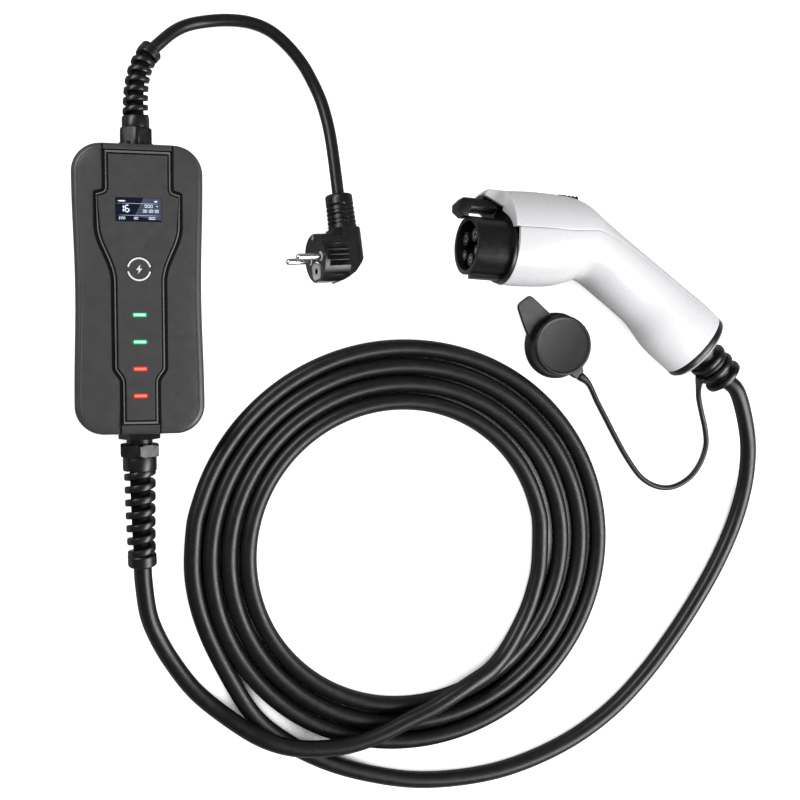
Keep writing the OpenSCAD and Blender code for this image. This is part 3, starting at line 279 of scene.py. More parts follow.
# %% Geometry Nodes: trees with named inputs
def new_tree(name, material, **sizes):
    """A tree with a geometry input, a float or whole-number input for each size, and the ends
    that every tree here has: Realize Instances and Set Material. Returns it and its two ends."""
    tree = bpy.data.node_groups.new(name, "GeometryNodeTree")
    tree.interface.new_socket("Geometry", in_out="INPUT", socket_type="NodeSocketGeometry")
    tree.interface.new_socket("Geometry", in_out="OUTPUT", socket_type="NodeSocketGeometry")
    for label, value in sizes.items():
        kind = "NodeSocketInt" if isinstance(value, int) else "NodeSocketFloat"
        tree.interface.new_socket(label, in_out="INPUT", socket_type=kind).default_value = value
    start = tree.nodes.new("NodeGroupInput")
    real = tree.nodes.new("GeometryNodeRealizeInstances")
    paint = tree.nodes.new("GeometryNodeSetMaterial")
    paint.inputs["Material"].default_value = material
    end = tree.nodes.new("NodeGroupOutput")
    tree.links.new(real.outputs[0], paint.inputs["Geometry"])
    tree.links.new(paint.outputs[0], end.inputs[0])
    return tree, start, real


def join(tree, *steps):
    """Links the first output of each node to the first input of the next."""
    for a, b in zip(steps, steps[1:]):
        tree.links.new(a.outputs[0], b.inputs[0])


def grown(obj, tree, **values):
    """Runs a tree on an object and keeps the result as its plain mesh."""
    mod = obj.modifiers.new("shape", "NODES")
    mod.node_group = tree
    for item in tree.interface.items_tree:
        if item.in_out == "INPUT" and item.name in values:
            mod[item.identifier] = values[item.name]
    return applied(obj)


def applied(obj):
    """Keeps the result of an object's modifiers as its plain mesh."""
    bpy.context.view_layer.update()
    graph = bpy.context.evaluated_depsgraph_get()
    mesh = bpy.data.meshes.new_from_object(obj.evaluated_get(graph))
    obj.modifiers.clear()
    obj.data = mesh
    return obj


def new_object(name, verts, edges=(), faces=()):
    mesh = bpy.data.meshes.new(name)
    mesh.from_pydata([tuple(v) for v in verts], [tuple(e) for e in edges], [tuple(f) for f in faces])
    obj = bpy.data.objects.new(name, mesh)
    bpy.context.scene.collection.objects.link(obj)
    return obj


def line_object(name, line_mm):
    n = len(line_mm)
    return new_object(name, np.asarray(line_mm) * MM, edges=[(i, i + 1) for i in range(n - 1)])


# %% Geometry Nodes: the tree that sweeps a cord
def cord_tree(material):
    tree, start, real = new_tree("sweep_" + material.name, material, Radius=0.005, Sides=20)
    to_curve = tree.nodes.new("GeometryNodeMeshToCurve")
    circle = tree.nodes.new("GeometryNodeCurvePrimitiveCircle")
    sweep = tree.nodes.new("GeometryNodeCurveToMesh")
    smooth = tree.nodes.new("GeometryNodeSetShadeSmooth")
    girth = tree.nodes.new("GeometryNodeInputNamedAttribute")
    girth.inputs["Name"].default_value = "girth"
    tree.links.new(girth.outputs["Attribute"], sweep.inputs["Scale"])
    tree.links.new(start.outputs["Radius"], circle.inputs["Radius"])
    tree.links.new(start.outputs["Sides"], circle.inputs["Resolution"])
    tree.links.new(circle.outputs["Curve"], sweep.inputs["Profile Curve"])
    sweep.inputs["Fill Caps"].default_value = True
    join(tree, start, to_curve, sweep, smooth, real)
    return tree


sheath_tree = cord_tree(cable_black)
strap_tree = cord_tree(soft_black)


def swept(name, line_mm, diameter_mm, tree, sides=20, girth=None):
    line = line_object(name, line_mm)
    girths = line.data.attributes.new("girth", "FLOAT", "POINT")
    girths.data.foreach_set("value", np.ones(len(line_mm)) if girth is None else girth)
    obj = grown(line, tree, Radius=diameter_mm / 2 * MM, Sides=sides)
    print(name, "%.0f mm long," % length_of(line_mm), len(obj.data.polygons), "faces")
    return obj


# %% The mains lead
LEAD_D = 9
mains_start, mains_way = np.array([12.599, 171.698, 18.784]), np.array([0.6740, 0.6980, -0.2419])
plug_entry, plug_way = np.array([148.046, 73.165, 15.573]), np.array([-0.0986, 0.9881, -0.1182])
mains_route = [[27, 186, 12.6], [37, 192.6, 8.4], [50, 197, 5.4], [67, 199.6, 4.6], [84, 199, 4.6],
               [99, 194, 4.6], [112, 184, 4.6], [123, 171.5, 4.6], [131, 158, 4.8],
               [137, 144.5, 5.8], [141, 130, 7.8], [143.5, 115.5, 10.2], [145.4, 99, 12.6]]
mains_line = smooth_line([mains_start, mains_start + LEAD_D * mains_way, *mains_route,
                          plug_entry + LEAD_D * plug_way, plug_entry], 2.5)
mains_cord = swept("mains_lead_sheath", mains_line, LEAD_D, sheath_tree)

# %% The charging cable
CABLE_D = 13
cable_start, cable_way = np.array([1.215, -198.359, 19.342]), np.array([0.0517, -0.9863, -0.1564])
boot_end, boot_way = np.array([470.091, -68.716, 26.084]), np.array([0.7320, -0.6812, -0.0147])
OVER_COIL = 19.8
lead_in_route = [[5, -235, 12.4], [11, -253, 8.4], [22, -274, 6.6], [39, -298, 6.6],
                 [61, -318, 9], [86, -334, 18.5], [110, -343.5, OVER_COIL],
                 [135, -346.5, OVER_COIL], [158, -345, OVER_COIL], [180, -339, OVER_COIL],
                 [202, -330, OVER_COIL], [221, -322.5, OVER_COIL], [237, -314, OVER_COIL],
                 [254, -305, 18.6], [269.5, -297.5, 15.5], [283.4, -286, 11.2],
                 [295.6, -269.6, 7.8], [305, -252, 6.6], [311, -234, 6.6], [314.6, -216, 6.6]]
lead_out_route = [[67, -294, 6.6], [86, -324, 6.6], [112, -346, 6.6], [142, -363, 6.6],
                  [175, -375, 6.6], [210, -383, 6.6], [246, -385, 6.6], [282, -382, 6.6],
                  [317, -373, 6.6], [350, -359, 6.6], [381, -339, 6.6], [408, -314, 6.6],
                  [432, -286, 6.6], [454, -256, 6.6], [474, -224, 6.6], [490, -190, 7],
                  [498, -157, 9.6], [498, -127, 14], [491, -101, 19.6]]
COIL_AT = np.array([202, -198, 0])
# Radius of the coil at its right, top, left and lower side, turn after turn, and its last left
COIL_RADII = [114, 115.2, 122.4, 123.5, 130.8, 129.2, 136.6, 138, 147.4, 143, 150.6, 152.4,
              163.6, 157, 164.4]


def spiral(step_deg=7.5):
    quarter = np.arange(0, len(COIL_RADII) - 1, step_deg / 90)[1:]
    wave = smooth_line([(k * 10.0, r, 0) for k, r in enumerate(COIL_RADII)], 0.5)
    r = np.interp(quarter * 10, wave[:, 0], wave[:, 1])
    turn = np.radians(quarter * 90)
    return [COIL_AT + (a * math.cos(t), a * math.sin(t), 6.6) for a, t in zip(r, turn)]


cable_line = smooth_line([cable_start, cable_start + CABLE_D * cable_way, *lead_in_route,
                          *spiral(), [38.6, -214, 6.6], [47.5, -252, 6.6], *lead_out_route,
                          boot_end + CABLE_D * boot_way, boot_end], 4)
cable_cord = swept("charging_cable_sheath", cable_line, CABLE_D, sheath_tree, 24)

# %% The cap's strap
STRAP_D = 4.4
strap_start, strap_end = np.array([350.233, -64.390, 2.5]), np.array([444.6, -64.3, 28.9])
strap_route = [[358, -71, 3], [366, -86, 2.4], [375, -102, 2.4], [384, -118, 2.4],
               [394, -134, 2.4], [406, -149, 2.4], [420, -157, 2.4], [435, -158, 2.4],
               [450, -151, 2.4], [460, -139, 2.4], [465, -124, 2.8], [463, -110, 4.4],
               [457.5, -96, 8], [451.5, -83, 13.6], [447.3, -72.5, 21]]
strap_line = smooth_line([strap_start, *strap_route, strap_end], 2)
from_end = np.linalg.norm(strap_line - strap_end, axis=1)
from_start = np.linalg.norm(strap_line - strap_start, axis=1)
# the strap widens to nearly double at the boot, and to 1.7 times at the cap
strap_girth = 1 + 0.95 * np.exp(-(from_end / 9) ** 2) + 0.7 * np.exp(-(from_start / 7) ** 2)
strap_cord = swept("cap_strap_sheath", strap_line, STRAP_D, strap_tree, 16, strap_girth)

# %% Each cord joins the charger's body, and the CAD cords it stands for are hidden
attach(mains_cord, "charger")
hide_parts("mains_lead")
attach(cable_cord, "charger")
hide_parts("cable_lead_in", "cable_coil", "cable_lead_out")
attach(strap_cord, "charger")
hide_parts("cap_tether")

# %% [markdown]
# ## Skins
# The CAD source draws the box and the connector as skins through rings of points. Here the same
# rings are made again, only finer, so that their curves stay smooth. A skin's ends are closed,
# and a wall's ring runs along the outside and back along the inside.

# %% Helpers for skins
def skin(rings, loop=False, walls=False):
    """Points and faces of a closed skin. A loop joins its last ring to its first."""
    n, m = len(rings[0]), len(rings)
    faces = []
    for k in range(m if loop else m - 1):
        a, b = k * n, (k + 1) % m * n
        faces += [(a + i, a + (i + 1) % n, b + (i + 1) % n, b + i) for i in range(n)]
    for a in () if loop else (0, (m - 1) * n):
        if walls:
            faces += [(a + i, a + i + 1, a + n - 2 - i, a + n - 1 - i) for i in range(n // 2 - 1)]
        else:
            faces.append(tuple(range(a, a + n)))
    return np.vstack([np.asarray(r, float) for r in rings]), faces


def prism(outline, low, high):
    return skin([[(x, y, z) for x, y in outline] for z in (low, high)])


def lathe(profile, sides=72, loop=False):
    """Turns a profile of [radius, height] about Z."""
    a = np.linspace(0, 2 * math.pi, sides, endpoint=False)
    rings = [np.stack([r * np.cos(a), r * np.sin(a), np.full(sides, z)], 1) for r, z in profile]
    return skin(rings, loop)


def block(low, high):
    (x0, y0, z0), (x1, y1, z1) = low, high
    return prism([(x0, y0), (x1, y0), (x1, y1), (x0, y1)], z0, z1)


def merged(*parts):
    points, faces, at = [], [], 0
    for p, f in parts:
        points.append(p)
        faces += [tuple(i + at for i in face) for face in f]
        at += len(p)
    return np.vstack(points), faces


def put(matrix, part):
    """Moves a part by a matrix in millimetres."""
    m = np.array(matrix)
    return part[0] @ m[:3, :3].T + m[:3, 3], part[1]


def placed(at, angles):
    """The matrix of a piece that CAD turns about X, then Y, then Z, and then moves."""
    turn = Euler([math.radians(a) for a in angles], "XYZ").to_matrix().to_4x4()
    return Matrix.Translation(Vector(at)) @ turn


def faced_outward(obj, join_flats=False):
    """Turns all normals outward; it can first join the triangles of each flat face."""
    b = bmesh.new()
    b.from_mesh(obj.data)
    if join_flats:
        bmesh.ops.remove_doubles(b, verts=b.verts, dist=1e-6)
        bmesh.ops.dissolve_limit(b, angle_limit=math.radians(0.5), verts=b.verts, edges=b.edges)
    bmesh.ops.recalc_face_normals(b, faces=b.faces)
    b.to_mesh(obj.data)
    b.free()
    return obj


def plain_object(name, part):
    return faced_outward(new_object(name, part[0] * MM, faces=part[1]))


def carved(obj, *cuts, operation="DIFFERENCE"):
    """Cuts parts out of an object one after the other, or joins them to it."""
    for part in cuts:
        tool = plain_object("tool", part)
        mod = obj.modifiers.new("cut", "BOOLEAN")
        mod.operation, mod.object, mod.solver = operation, tool, "EXACT"
        applied(obj)
        bpy.data.objects.remove(tool)
    return obj


def softened(obj, width_mm, steps=2, angle=32):
    mod = obj.modifiers.new("edges", "BEVEL")
    mod.width, mod.segments, mod.limit_method = width_mm * MM, steps, "ANGLE"
    mod.angle_limit = math.radians(angle)
    return applied(obj)


def dressed(obj, material, slot, *stands_for, body="charger", sharp=32):
    """Smooth faces with sharp edges by angle, a material and a body; the slot is not used."""
    mesh = obj.data
    mesh.polygons.foreach_set("use_smooth", [True] * len(mesh.polygons))
    mesh.set_sharp_from_angle(angle=math.radians(sharp))
    mesh.materials.clear()
    mesh.materials.append(material)
    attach(obj, body)
    if stands_for:
        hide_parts(*stands_for)
    print(obj.name, len(mesh.polygons), "faces")
    return obj


def joined_copy(name, node):
    """A copy of a CAD node's form with its flat faces joined."""
    obj = bpy.data.objects.new(name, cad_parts[node].data.copy())
    bpy.context.scene.collection.objects.link(obj)
    return faced_outward(obj, join_flats=True)


def refined(node, width_mm, material, slot, body="charger"):
    """A CAD node's own form with its edges softened."""
    fine_copy = softened(joined_copy(node + "_fine", node), width_mm)
    return dressed(fine_copy, material, slot, node, body=body)


# %% [markdown]
# ## The control box
# Its outline is a rounded rectangle whose long sides draw in a little. The cover's face is
# slightly crowned, and a fine bead runs where the face meets the bevel.

# %% The box's shells
HALF_W, HALF_L, BOX_H = 44.5, 100.5, 50
WALL, CORNER, WAIST, BEVEL = 2.6, 20, 1.6, 5
JOINT_LOW, JOINT_HIGH = 38.4, 39.2
CROWN = 1.0


def box_ring(inset, z, steps=14, side=22):
    """The box's outline, drawn in by an inset, at a height."""
    hx, hy, r = HALF_W - inset, HALF_L - inset, max(CORNER - inset, WALL)
    ring = []
    for q, (sx, sy) in enumerate(((1, 1), (-1, 1), (-1, -1), (1, -1))):
        for i in range(steps + 1):
            a = math.radians(90 * (q + i / steps))
            ring.append((sx * (hx - r) + r * math.cos(a), sy * (hy - r) + r * math.sin(a), z))
        if q in (1, 3):
            for i in range(1, side):
                t = i / side
                waist = WAIST * math.sin(math.pi * t) ** 2
                ring.append((sx * (hx - waist), sx * (hy - r) * (2 * t - 1), z))
    return ring


screw_places = [(x * (HALF_W - 12), y * (HALF_L - 12)) for x in (-1, 1) for y in (-1, 1)]


def at_screws(profile):
    return merged(*[put(Matrix.Translation((x, y, 0)), lathe(profile, 32)) for x, y in screw_places])


back = plain_object("box_back", skin([
    box_ring(2.5, 0), box_ring(1.6, 0.35), box_ring(0.6, 1.2), box_ring(0, 2.5),
    box_ring(0, JOINT_LOW - 0.3), box_ring(0.3, JOINT_LOW), box_ring(WALL, JOINT_LOW),
    box_ring(WALL, WALL + 2.5), box_ring(WALL + 2.5, WALL)]))
carved(back, at_screws([(4.4, WALL / 2), (4.4, JOINT_LOW)]), operation="UNION")
carved(back, at_screws([(1.8, -1), (1.8, JOINT_LOW + 1)]), at_screws([(3.3, -1), (3.3, 4.5)]))
dressed(back, charcoal, "box_shell", "box_base")

bevel_rings = []
for a in np.radians(np.linspace(0, 74, 11)):
    bevel_rings.append((BEVEL * (1 - math.cos(a)), BOX_H - BEVEL + (BEVEL - CROWN) * math.sin(a)))
edge = bevel_rings[-1]
bead = [(edge[0] + 0.15, edge[1] + 0.32), (edge[0] + 0.75, edge[1] + 0.36),
        (edge[0] + 1.05, edge[1] + 0.12)]
crown = [(inset, BOX_H - CROWN * ((24 - inset) / 20) ** 2) for inset in (6, 9, 13, 18, 24)]
# places down the face, as shares of the box's length from its mains end
LAMP_YS = [HALF_L - (0.586 + k * 0.093) * 2 * HALF_L for k in range(4)]
WINDOW_Y = HALF_L - 0.227 * 2 * HALF_L
KEY_Y = HALF_L - 0.43 * 2 * HALF_L
FACE_Z = 52.2
lamp_slots = [block((-4.2, y - 1, 40), (4.2, y + 1, 60)) for y in LAMP_YS]
front = plain_object("box_front", skin([
    box_ring(WALL + BEVEL, BOX_H - WALL - CROWN), box_ring(WALL, BOX_H - WALL - BEVEL),
    box_ring(WALL, JOINT_HIGH), box_ring(0.3, JOINT_HIGH), box_ring(0, JOINT_HIGH + 0.3),
    *[box_ring(i, z) for i, z in bevel_rings + bead + crown]]))
window_hole = block((-12.6, WINDOW_Y - 5.4, 40), (12.6, WINDOW_Y + 5.4, 60))
carved(front, merged(window_hole, *lamp_slots))
dressed(front, charcoal, "box_shell", "box_cover", sharp=40)

# %% [markdown]
# ## The front panel
# The panel is a stack of strips with one outline, each drawn in further than the one below: a
# moat, a ridge, a groove and the face. The moat and the groove are a near-black that is painted
# shade, and the ridge is a lighter grey than the face, a painted highlight. Charcoal bridges cover
# the moat between the ridge and the ends of the box. The edge is a line of half widths along the
# box, and a strip's own edge is that line offset square to itself.

# %% The panel's edge
def eased(y0, y1, w0, w1, n=14):
    t = np.linspace(0, 1, n)
    return [(w0 + (w1 - w0) * (0.5 - 0.5 * math.cos(math.pi * s)), y0 + (y1 - y0) * s) for s in t]


panel_edge = [(24.2, HALF_L), (24.2, 69.6), (24.5, 68.9), (25.2, 68.5), (29.2, 67.4), (29.9, 66.9),
              (30.1, 66.1), *eased(44, 5, 30.1, 19.1, 20), *eased(-54, -64.5, 19.1, 14, 8),
              (14, -HALF_L)]


def offset_edge(offset, top=HALF_L, foot=-HALF_L):
    """The edge drawn in by an offset, as [half width, y] from the top down."""
    p = np.array(panel_edge)
    d = np.diff(p, axis=0)
    normal = np.stack([d[:, 1], -d[:, 0]], 1) / np.linalg.norm(d, axis=1)[:, None]
    ends = np.vstack([normal[:1], normal, normal[-1:]])
    mid = ends[:-1] + ends[1:]
    mid /= np.sum(mid * ends[1:], axis=1)[:, None]
    q = p + offset * mid
    keep = [q[0]]
    for point in q[1:]:
        if point[1] < keep[-1][1] - 0.02:
            keep.append(point)
    keep = np.array(keep)
    inside = keep[(keep[:, 1] < top - 0.05) & (keep[:, 1] > foot + 0.05)]
    at_top, at_foot = np.interp((top, foot), keep[::-1, 1], keep[::-1, 0])
    return [(at_top, top), *map(tuple, inside), (at_foot, foot)]


FACE_INSET = 6


def face_height(y):
    """The height that a strip follows: flat, and down the bevel at the box's ends."""
    inset = HALF_L - abs(y)
    if inset > FACE_INSET:
        return BOX_H
    insets, heights = zip(*bevel_rings)
    return 0.6 * inset / FACE_INSET + float(np.interp(inset, insets, heights))


def strip(offset, low, high, chamfer, top=HALF_L, foot=-HALF_L):
    """A strip along the box between two heights over its face."""
    edge = offset_edge(offset, top, foot)
    if top == HALF_L:
        ends = [HALF_L - i for i, _ in bevel_rings[1:]] + [HALF_L - FACE_INSET - 0.1]
        edge = [(edge[0][0], HALF_L)] + [(edge[0][0], y) for y in ends] + edge[1:-1] \
            + [(edge[-1][0], -y) for y in reversed(ends)] + [(edge[-1][0], -HALF_L)]
    rings = []
    for w, y in edge:
        z = face_height(y)
        rings.append([(-w, y, z + low), (w, y, z + low), (w, y, z + high - chamfer),
                      (w - chamfer, y, z + high), (chamfer - w, y, z + high),
                      (-w, y, z + high - chamfer)])
    return skin(rings)


# The moat is painted shade: a near-black strip round the panel, not a seal.
moat = plain_object("panel_moat", strip(0, -1.5, 0.2, 0.05))
carved(moat, merged(*lamp_slots))
dressed(moat, painted_shade_black, "seal")
bridges = plain_object("panel_bridges", strip(1.1, -1.5, 0.6, 0.3))
carved(bridges, block((-40, -93.9, 30), (40, 95.9, 60)))
dressed(bridges, charcoal, "box_shell")
ridge = plain_object("panel_ridge", strip(2.3, -1.5, 1.3, 0.35, 94.8, -92.8))
carved(ridge, merged(*lamp_slots))
# The groove's near-black is painted shade too.
groove = plain_object("panel_groove", strip(3.2, -1.4, 1.36, 0.02, 93.4, -91.4))
carved(groove, merged(*lamp_slots))
dressed(groove, painted_shade_black, "seal")
face = plain_object("panel_face", strip(4.3, -1.4, FACE_Z - BOX_H, 0.5, 92.2, -90.2))
SEAT_Z = FACE_Z - 1.2
carved(face, merged(
    block((-15.45, WINDOW_Y - 8.2, SEAT_Z), (15.45, WINDOW_Y + 8.2, 60)),
    block((-12.6, WINDOW_Y - 5.4, 40), (12.6, WINDOW_Y + 5.4, SEAT_Z)),
    put(Matrix.Translation((0, KEY_Y, 0)), lathe([(8.8, SEAT_Z), (8.8, 60)], 64)), *lamp_slots))
# The ridge's lighter grey is a painted highlight.
dressed(ridge, painted_highlight_grey, "box_shell")
dressed(face, charcoal, "box_shell", "front_panel")

# %% [markdown]
# ## Display, key and lamps
# What the display shows is plain numbers. Each digit is a set of bars: a point for each bar
# carries its size and its turn, and Geometry Nodes put a flat six-sided bar on every point.

# %% Geometry Nodes: the tree that lays bars on points
def bar_tree(material):
    tree, start, real = new_tree("bars_" + material.name, material, Thickness=0.0001)
    bar = tree.nodes.new("GeometryNodeMeshCylinder")
    bar.inputs["Vertices"].default_value = 6
    bar.inputs["Radius"].default_value = 0.5
    bar.inputs["Depth"].default_value = 1
    spots = tree.nodes.new("GeometryNodeInstanceOnPoints")
    size = tree.nodes.new("GeometryNodeInputNamedAttribute")
    turn = tree.nodes.new("GeometryNodeInputNamedAttribute")
    for node, label in ((size, "bar_size"), (turn, "bar_turn")):
        node.data_type = "FLOAT_VECTOR"
        node.inputs["Name"].default_value = label
    to_turn = tree.nodes.new("FunctionNodeEulerToRotation")
    tree.links.new(start.outputs["Geometry"], spots.inputs["Points"])
    tree.links.new(bar.outputs["Mesh"], spots.inputs["Instance"])
    tree.links.new(size.outputs["Attribute"], spots.inputs["Scale"])
    tree.links.new(turn.outputs["Attribute"], to_turn.inputs["Euler"])
    tree.links.new(to_turn.outputs["Rotation"], spots.inputs["Rotation"])
    tree.links.new(spots.outputs["Instances"], real.inputs["Geometry"])
    return tree


# %% Digits out of bars
SEGMENTS = {"0": "abcdef", "1": "bc", "2": "abged", "6": "afgedc"}
BAR_AT = {"a": (0, 1, 0), "g": (0, 0, 0), "d": (0, -1, 0), "f": (-1, 0.5, 1), "b": (1, 0.5, 1),
          "e": (-1, -0.5, 1), "c": (1, -0.5, 1)}


def digits(text, x, y, height, pitch, width):
    """Bars as [x, y, length, width, turn]; a colon is two short bars."""
    bars = []
    for k, char in enumerate(text):
        cx = x + k * pitch
        if char == ":":
            bars += [(cx, y + s * height / 4, width * 1.2, width * 1.2, 0) for s in (-1, 1)]
        for name in SEGMENTS.get(char, ""):
            u, v, upright = BAR_AT[name]
            bars.append((cx + u * pitch * 0.33, y + v * height / 2,
                         height * 0.5 if upright else pitch * 0.62, width,
                         math.pi / 2 if upright else 0))
    return bars


def bar_piece(name, bars, tree, z):
    obj = new_object(name, [(x * MM, y * MM, z * MM) for x, y, *_ in bars])
    size = obj.data.attributes.new("bar_size", "FLOAT_VECTOR", "POINT")
    turn = obj.data.attributes.new("bar_turn", "FLOAT_VECTOR", "POINT")
    size.data.foreach_set("vector", [
        v * MM for _, _, length, width, _ in bars for v in (length, width * 1.15, 0.06)])
    turn.data.foreach_set("vector", [v for *_, t in bars for v in (0, 0, t)])
    return grown(obj, tree)


number_tree = bar_tree(screen_white)
ROW_Y = WINDOW_Y - 5.9
number_bars = [
    *digits("16", -11.2, WINDOW_Y + 0.6, 4.4, 3.6, 0.85),
    *digits("000", 5.0, WINDOW_Y + 2.4, 1.8, 1.9, 0.38), (12.6, WINDOW_Y + 2.4, 1.6, 0.5, 0),
    *digits("00:00:00", 3.6, WINDOW_Y - 0.9, 1.8, 1.35, 0.34),
    *digits("220", -12.6, ROW_Y, 1.5, 1.5, 0.34), *digits("00", -2.4, ROW_Y, 1.5, 1.5, 0.34),
    *digits("000", 7.6, ROW_Y, 1.5, 1.5, 0.34),
    (-11.2, WINDOW_Y + 5.7, 5.6, 0.9, 0), (11.8, WINDOW_Y + 5.7, 2.6, 1.1, 0),
    (0, WINDOW_Y + 4.1, 30, 0.16, 0), (0, WINDOW_Y - 4.0, 30, 0.16, 0)]
numbers = bar_piece("display_numbers", number_bars, number_tree, FACE_Z + 0.035)
dressed(numbers, screen_white, "window")
# A thin plate over part of the window, lighter than the glass: a painted reflection.
painted_reflection_outline = [(3.6, 8), (15.2, 8), (15.2, -7.2), (-2.6, -4.6)]
painted_reflection_plate = plain_object("display_painted_reflection", prism([(x, WINDOW_Y + y) for x, y in painted_reflection_outline],
                                            FACE_Z, FACE_Z + 0.004))
dressed(painted_reflection_plate, screen_painted_reflection, "window")


# %% The key's arcs and sign
def arc_plate(r0, r1, a0, a1, z0, z1, n=40):
    rings = []
    for a in np.radians(np.linspace(a0, a1, n)):
        c, s = math.cos(a), math.sin(a)
        rings.append([(r * c, KEY_Y + r * s, z) for r, z in ((r0, z0), (r1, z0), (r1, z1), (r0, z1))])
    return skin(rings)


bolt = [(0.9, 3.3), (-2.1, -0.5), (-0.25, -0.5), (-0.9, -3.3), (2.1, 0.5), (0.25, 0.5)]
PRINT_Z = FACE_Z + 0.06
key_marks = plain_object("key_marks", merged(
    arc_plate(7.0, 8.1, 12, 168, FACE_Z, PRINT_Z), arc_plate(7.0, 8.1, 192, 348, FACE_Z, PRINT_Z),
    prism([(x, KEY_Y + y) for x, y in bolt], FACE_Z, PRINT_Z)))
dressed(key_marks, print_white, "white_plastic")


# %% The lamps' rims
def rounded(w, h, r, n=6):
    ring = []
    for q, (sx, sy) in enumerate(((1, 1), (-1, 1), (-1, -1), (1, -1))):
        for i in range(n + 1):
            a = math.radians(90 * (q + i / n))
            ring.append((sx * (w / 2 - r) + r * math.cos(a), sy * (h / 2 - r) + r * math.sin(a)))
    return ring


def lamp_rims(ys):
    parts = []
    for y in ys:
        big, small = rounded(10.4, 3.6, 1.5), rounded(8.2, 1.8, 0.05)
        rings = [[(x, y + v, z) for x, v in ring] for ring, z in (
            (big, FACE_Z), (big, FACE_Z + 0.03), (small, FACE_Z + 0.05), (small, FACE_Z))]
        parts.append(skin(rings, loop=True))
    return merged(*parts)


dressed(plain_object("green_rims", lamp_rims(LAMP_YS[:2])), green_rim, "green_lamp")
dressed(plain_object("red_rims", lamp_rims(LAMP_YS[2:])), red_rim, "red_lamp")

# %% [markdown]
# ## Strain reliefs
# Each relief is a core with a flat rib wound round it like a spring, on a line that bends more
# and more towards its end, with a hexagonal nut at its foot and a plain ferrule at its end.

# %% The relief's line and its rib
RELIEF_TURNS = 7.5
AXIS_Z = 23


def relief_frames(length, bend, droop, n):
    """Places and directions along the relief, in the gland's own frame."""
    share = np.linspace(0, 1, n)
    b, d = np.radians(bend) * share ** 2, np.radians(droop) * share ** 2
    way = np.stack([np.sin(b) * np.cos(d), np.sin(d), np.cos(b) * np.cos(d)], 1)
    step = (way[1:] + way[:-1]) / 2 * length / (n - 1)
    at = np.vstack([[0, 0, 0], np.cumsum(step, axis=0)])
    side = np.cross([0, 1, 0], way)
    side /= np.linalg.norm(side, axis=1)[:, None]
    return at, way, side, np.cross(way, side)


def relief_tube(frames, radii, sides=40):
    a = np.linspace(0, 2 * math.pi, sides, endpoint=False)[:, None]
    return skin([p + r * (np.cos(a) * s + np.sin(a) * u)
                 for p, s, u, r in zip(frames[0], frames[2], frames[3], radii)])


def spiral_rib(frames, radii, depth, width, turns):
    rings = []
    n = len(radii)
    for k in range(n):
        p, way, s, u = (f[k] for f in frames)
        a = 2 * math.pi * turns * k / (n - 1)
        out = math.cos(a) * s + math.sin(a) * u
        r, half, e = radii[k], width / 2, 0.22 * width
        rings.append([p + out * rr + way * w for rr, w in (
            (r - depth, -half), (r - e * 0.8, -half), (r - e * 0.25, e * 0.35 - half), (r, e - half),
            (r, half - e), (r - e * 0.25, half - e * 0.35), (r - e * 0.8, half), (r - depth, half))])
    return skin(rings)


def hex_nut(k, low, length):
    """A hexagonal nut whose corners are turned down at both ends."""
    a = np.radians(np.arange(0, 360, 7.5))
    flat = k / 2 / np.cos((a + math.pi / 6) % (math.pi / 3) - math.pi / 6)
    rings = []
    for z, cap in ((0, 0.985), (0.035, 1.06), (0.12, 2), (0.88, 2), (0.965, 1.06), (1, 0.985)):
        r = np.minimum(flat, cap * k / 2)
        rings.append(np.stack([r * np.cos(a), r * np.sin(a), np.full(len(a), low + z * length)], 1))
    return skin(rings)


sleeve_profile = [(0.40, -0.44), (0.46, -0.41), (0.47, -0.36), (0.47, -0.04), (0.45, 0), (0.3, 0)]


def relief(name, node, s, k, length, bend, droop, nut_low, nut_k):
    """A relief at one end of the box (s is 1 or -1), sized by its nut's width k."""
    n = int(RELIEF_TURNS * 36) + 1
    frames = relief_frames(length, bend, droop, n)
    share = np.linspace(0, 1, n)
    radii = (0.445 + (0.385 - 0.445) * share) * k
    foot = 1.1 * k
    ferrule = 0.34 * k
    cut = int(n * (1 - ferrule / length))
    up = Matrix.Translation((0, 0, foot))
    end = [f[cut - 2:] for f in frames]
    m = len(end[0])
    end_r = radii[-1] * np.interp(np.linspace(0, 1, m), (0, 0.06, 0.14, 0.86, 0.95, 1),
                                  (0.9, 1.01, 1.05, 1.05, 1.0, 0.9))
    parts = merged(
        hex_nut(nut_k * k, nut_low * k, (0.7 - nut_low) * k),
        put(up, lathe([(r * k, z * k) for r, z in sleeve_profile], 48)),
        put(up, spiral_rib([f[:cut + 6] for f in frames], radii[:cut + 6], 0.2 * k,
                           0.56 * length / RELIEF_TURNS, RELIEF_TURNS * (cut + 6) / n)),
        put(up, relief_tube(end, end_r)))
    gland = Matrix(((1, 0, 0, 0), (0, 0, s, s * HALF_L), (0, -s, 0, AXIS_Z), (0, 0, 0, 1)))
    # The core is a darker black than the rib: painted shade between the rib's turns.
    core = put(gland @ up, relief_tube(frames, radii - 0.16 * k))
    dressed(plain_object(name + "_core", core), painted_shade_black, "black_plastic")
    return dressed(plain_object(name, put(gland, parts)), satin_black, "black_plastic", node)


relief("mains_spring", "mains_relief", 1, 20.4, 52, 44, 14, 0.03, 1.06)
relief("cable_spring", "cable_relief", -1, 25.5, 70, 3, -9, 0.34, 1.04)

# %% [markdown]
# ## The connector's housing
# Thirteen stations give the housing its top and bottom line, its widest height and its width. A
# smooth curve through them gives many more, and each one becomes a ring of the shell's wall. A
# station's seven numbers are the top point's x and y, the bottom point's x and y, where the widest
# height lies between the two, the half width, and the seam's angle from the top. Every x is a
# share of REACH, and every other length a share of FRONT_R.

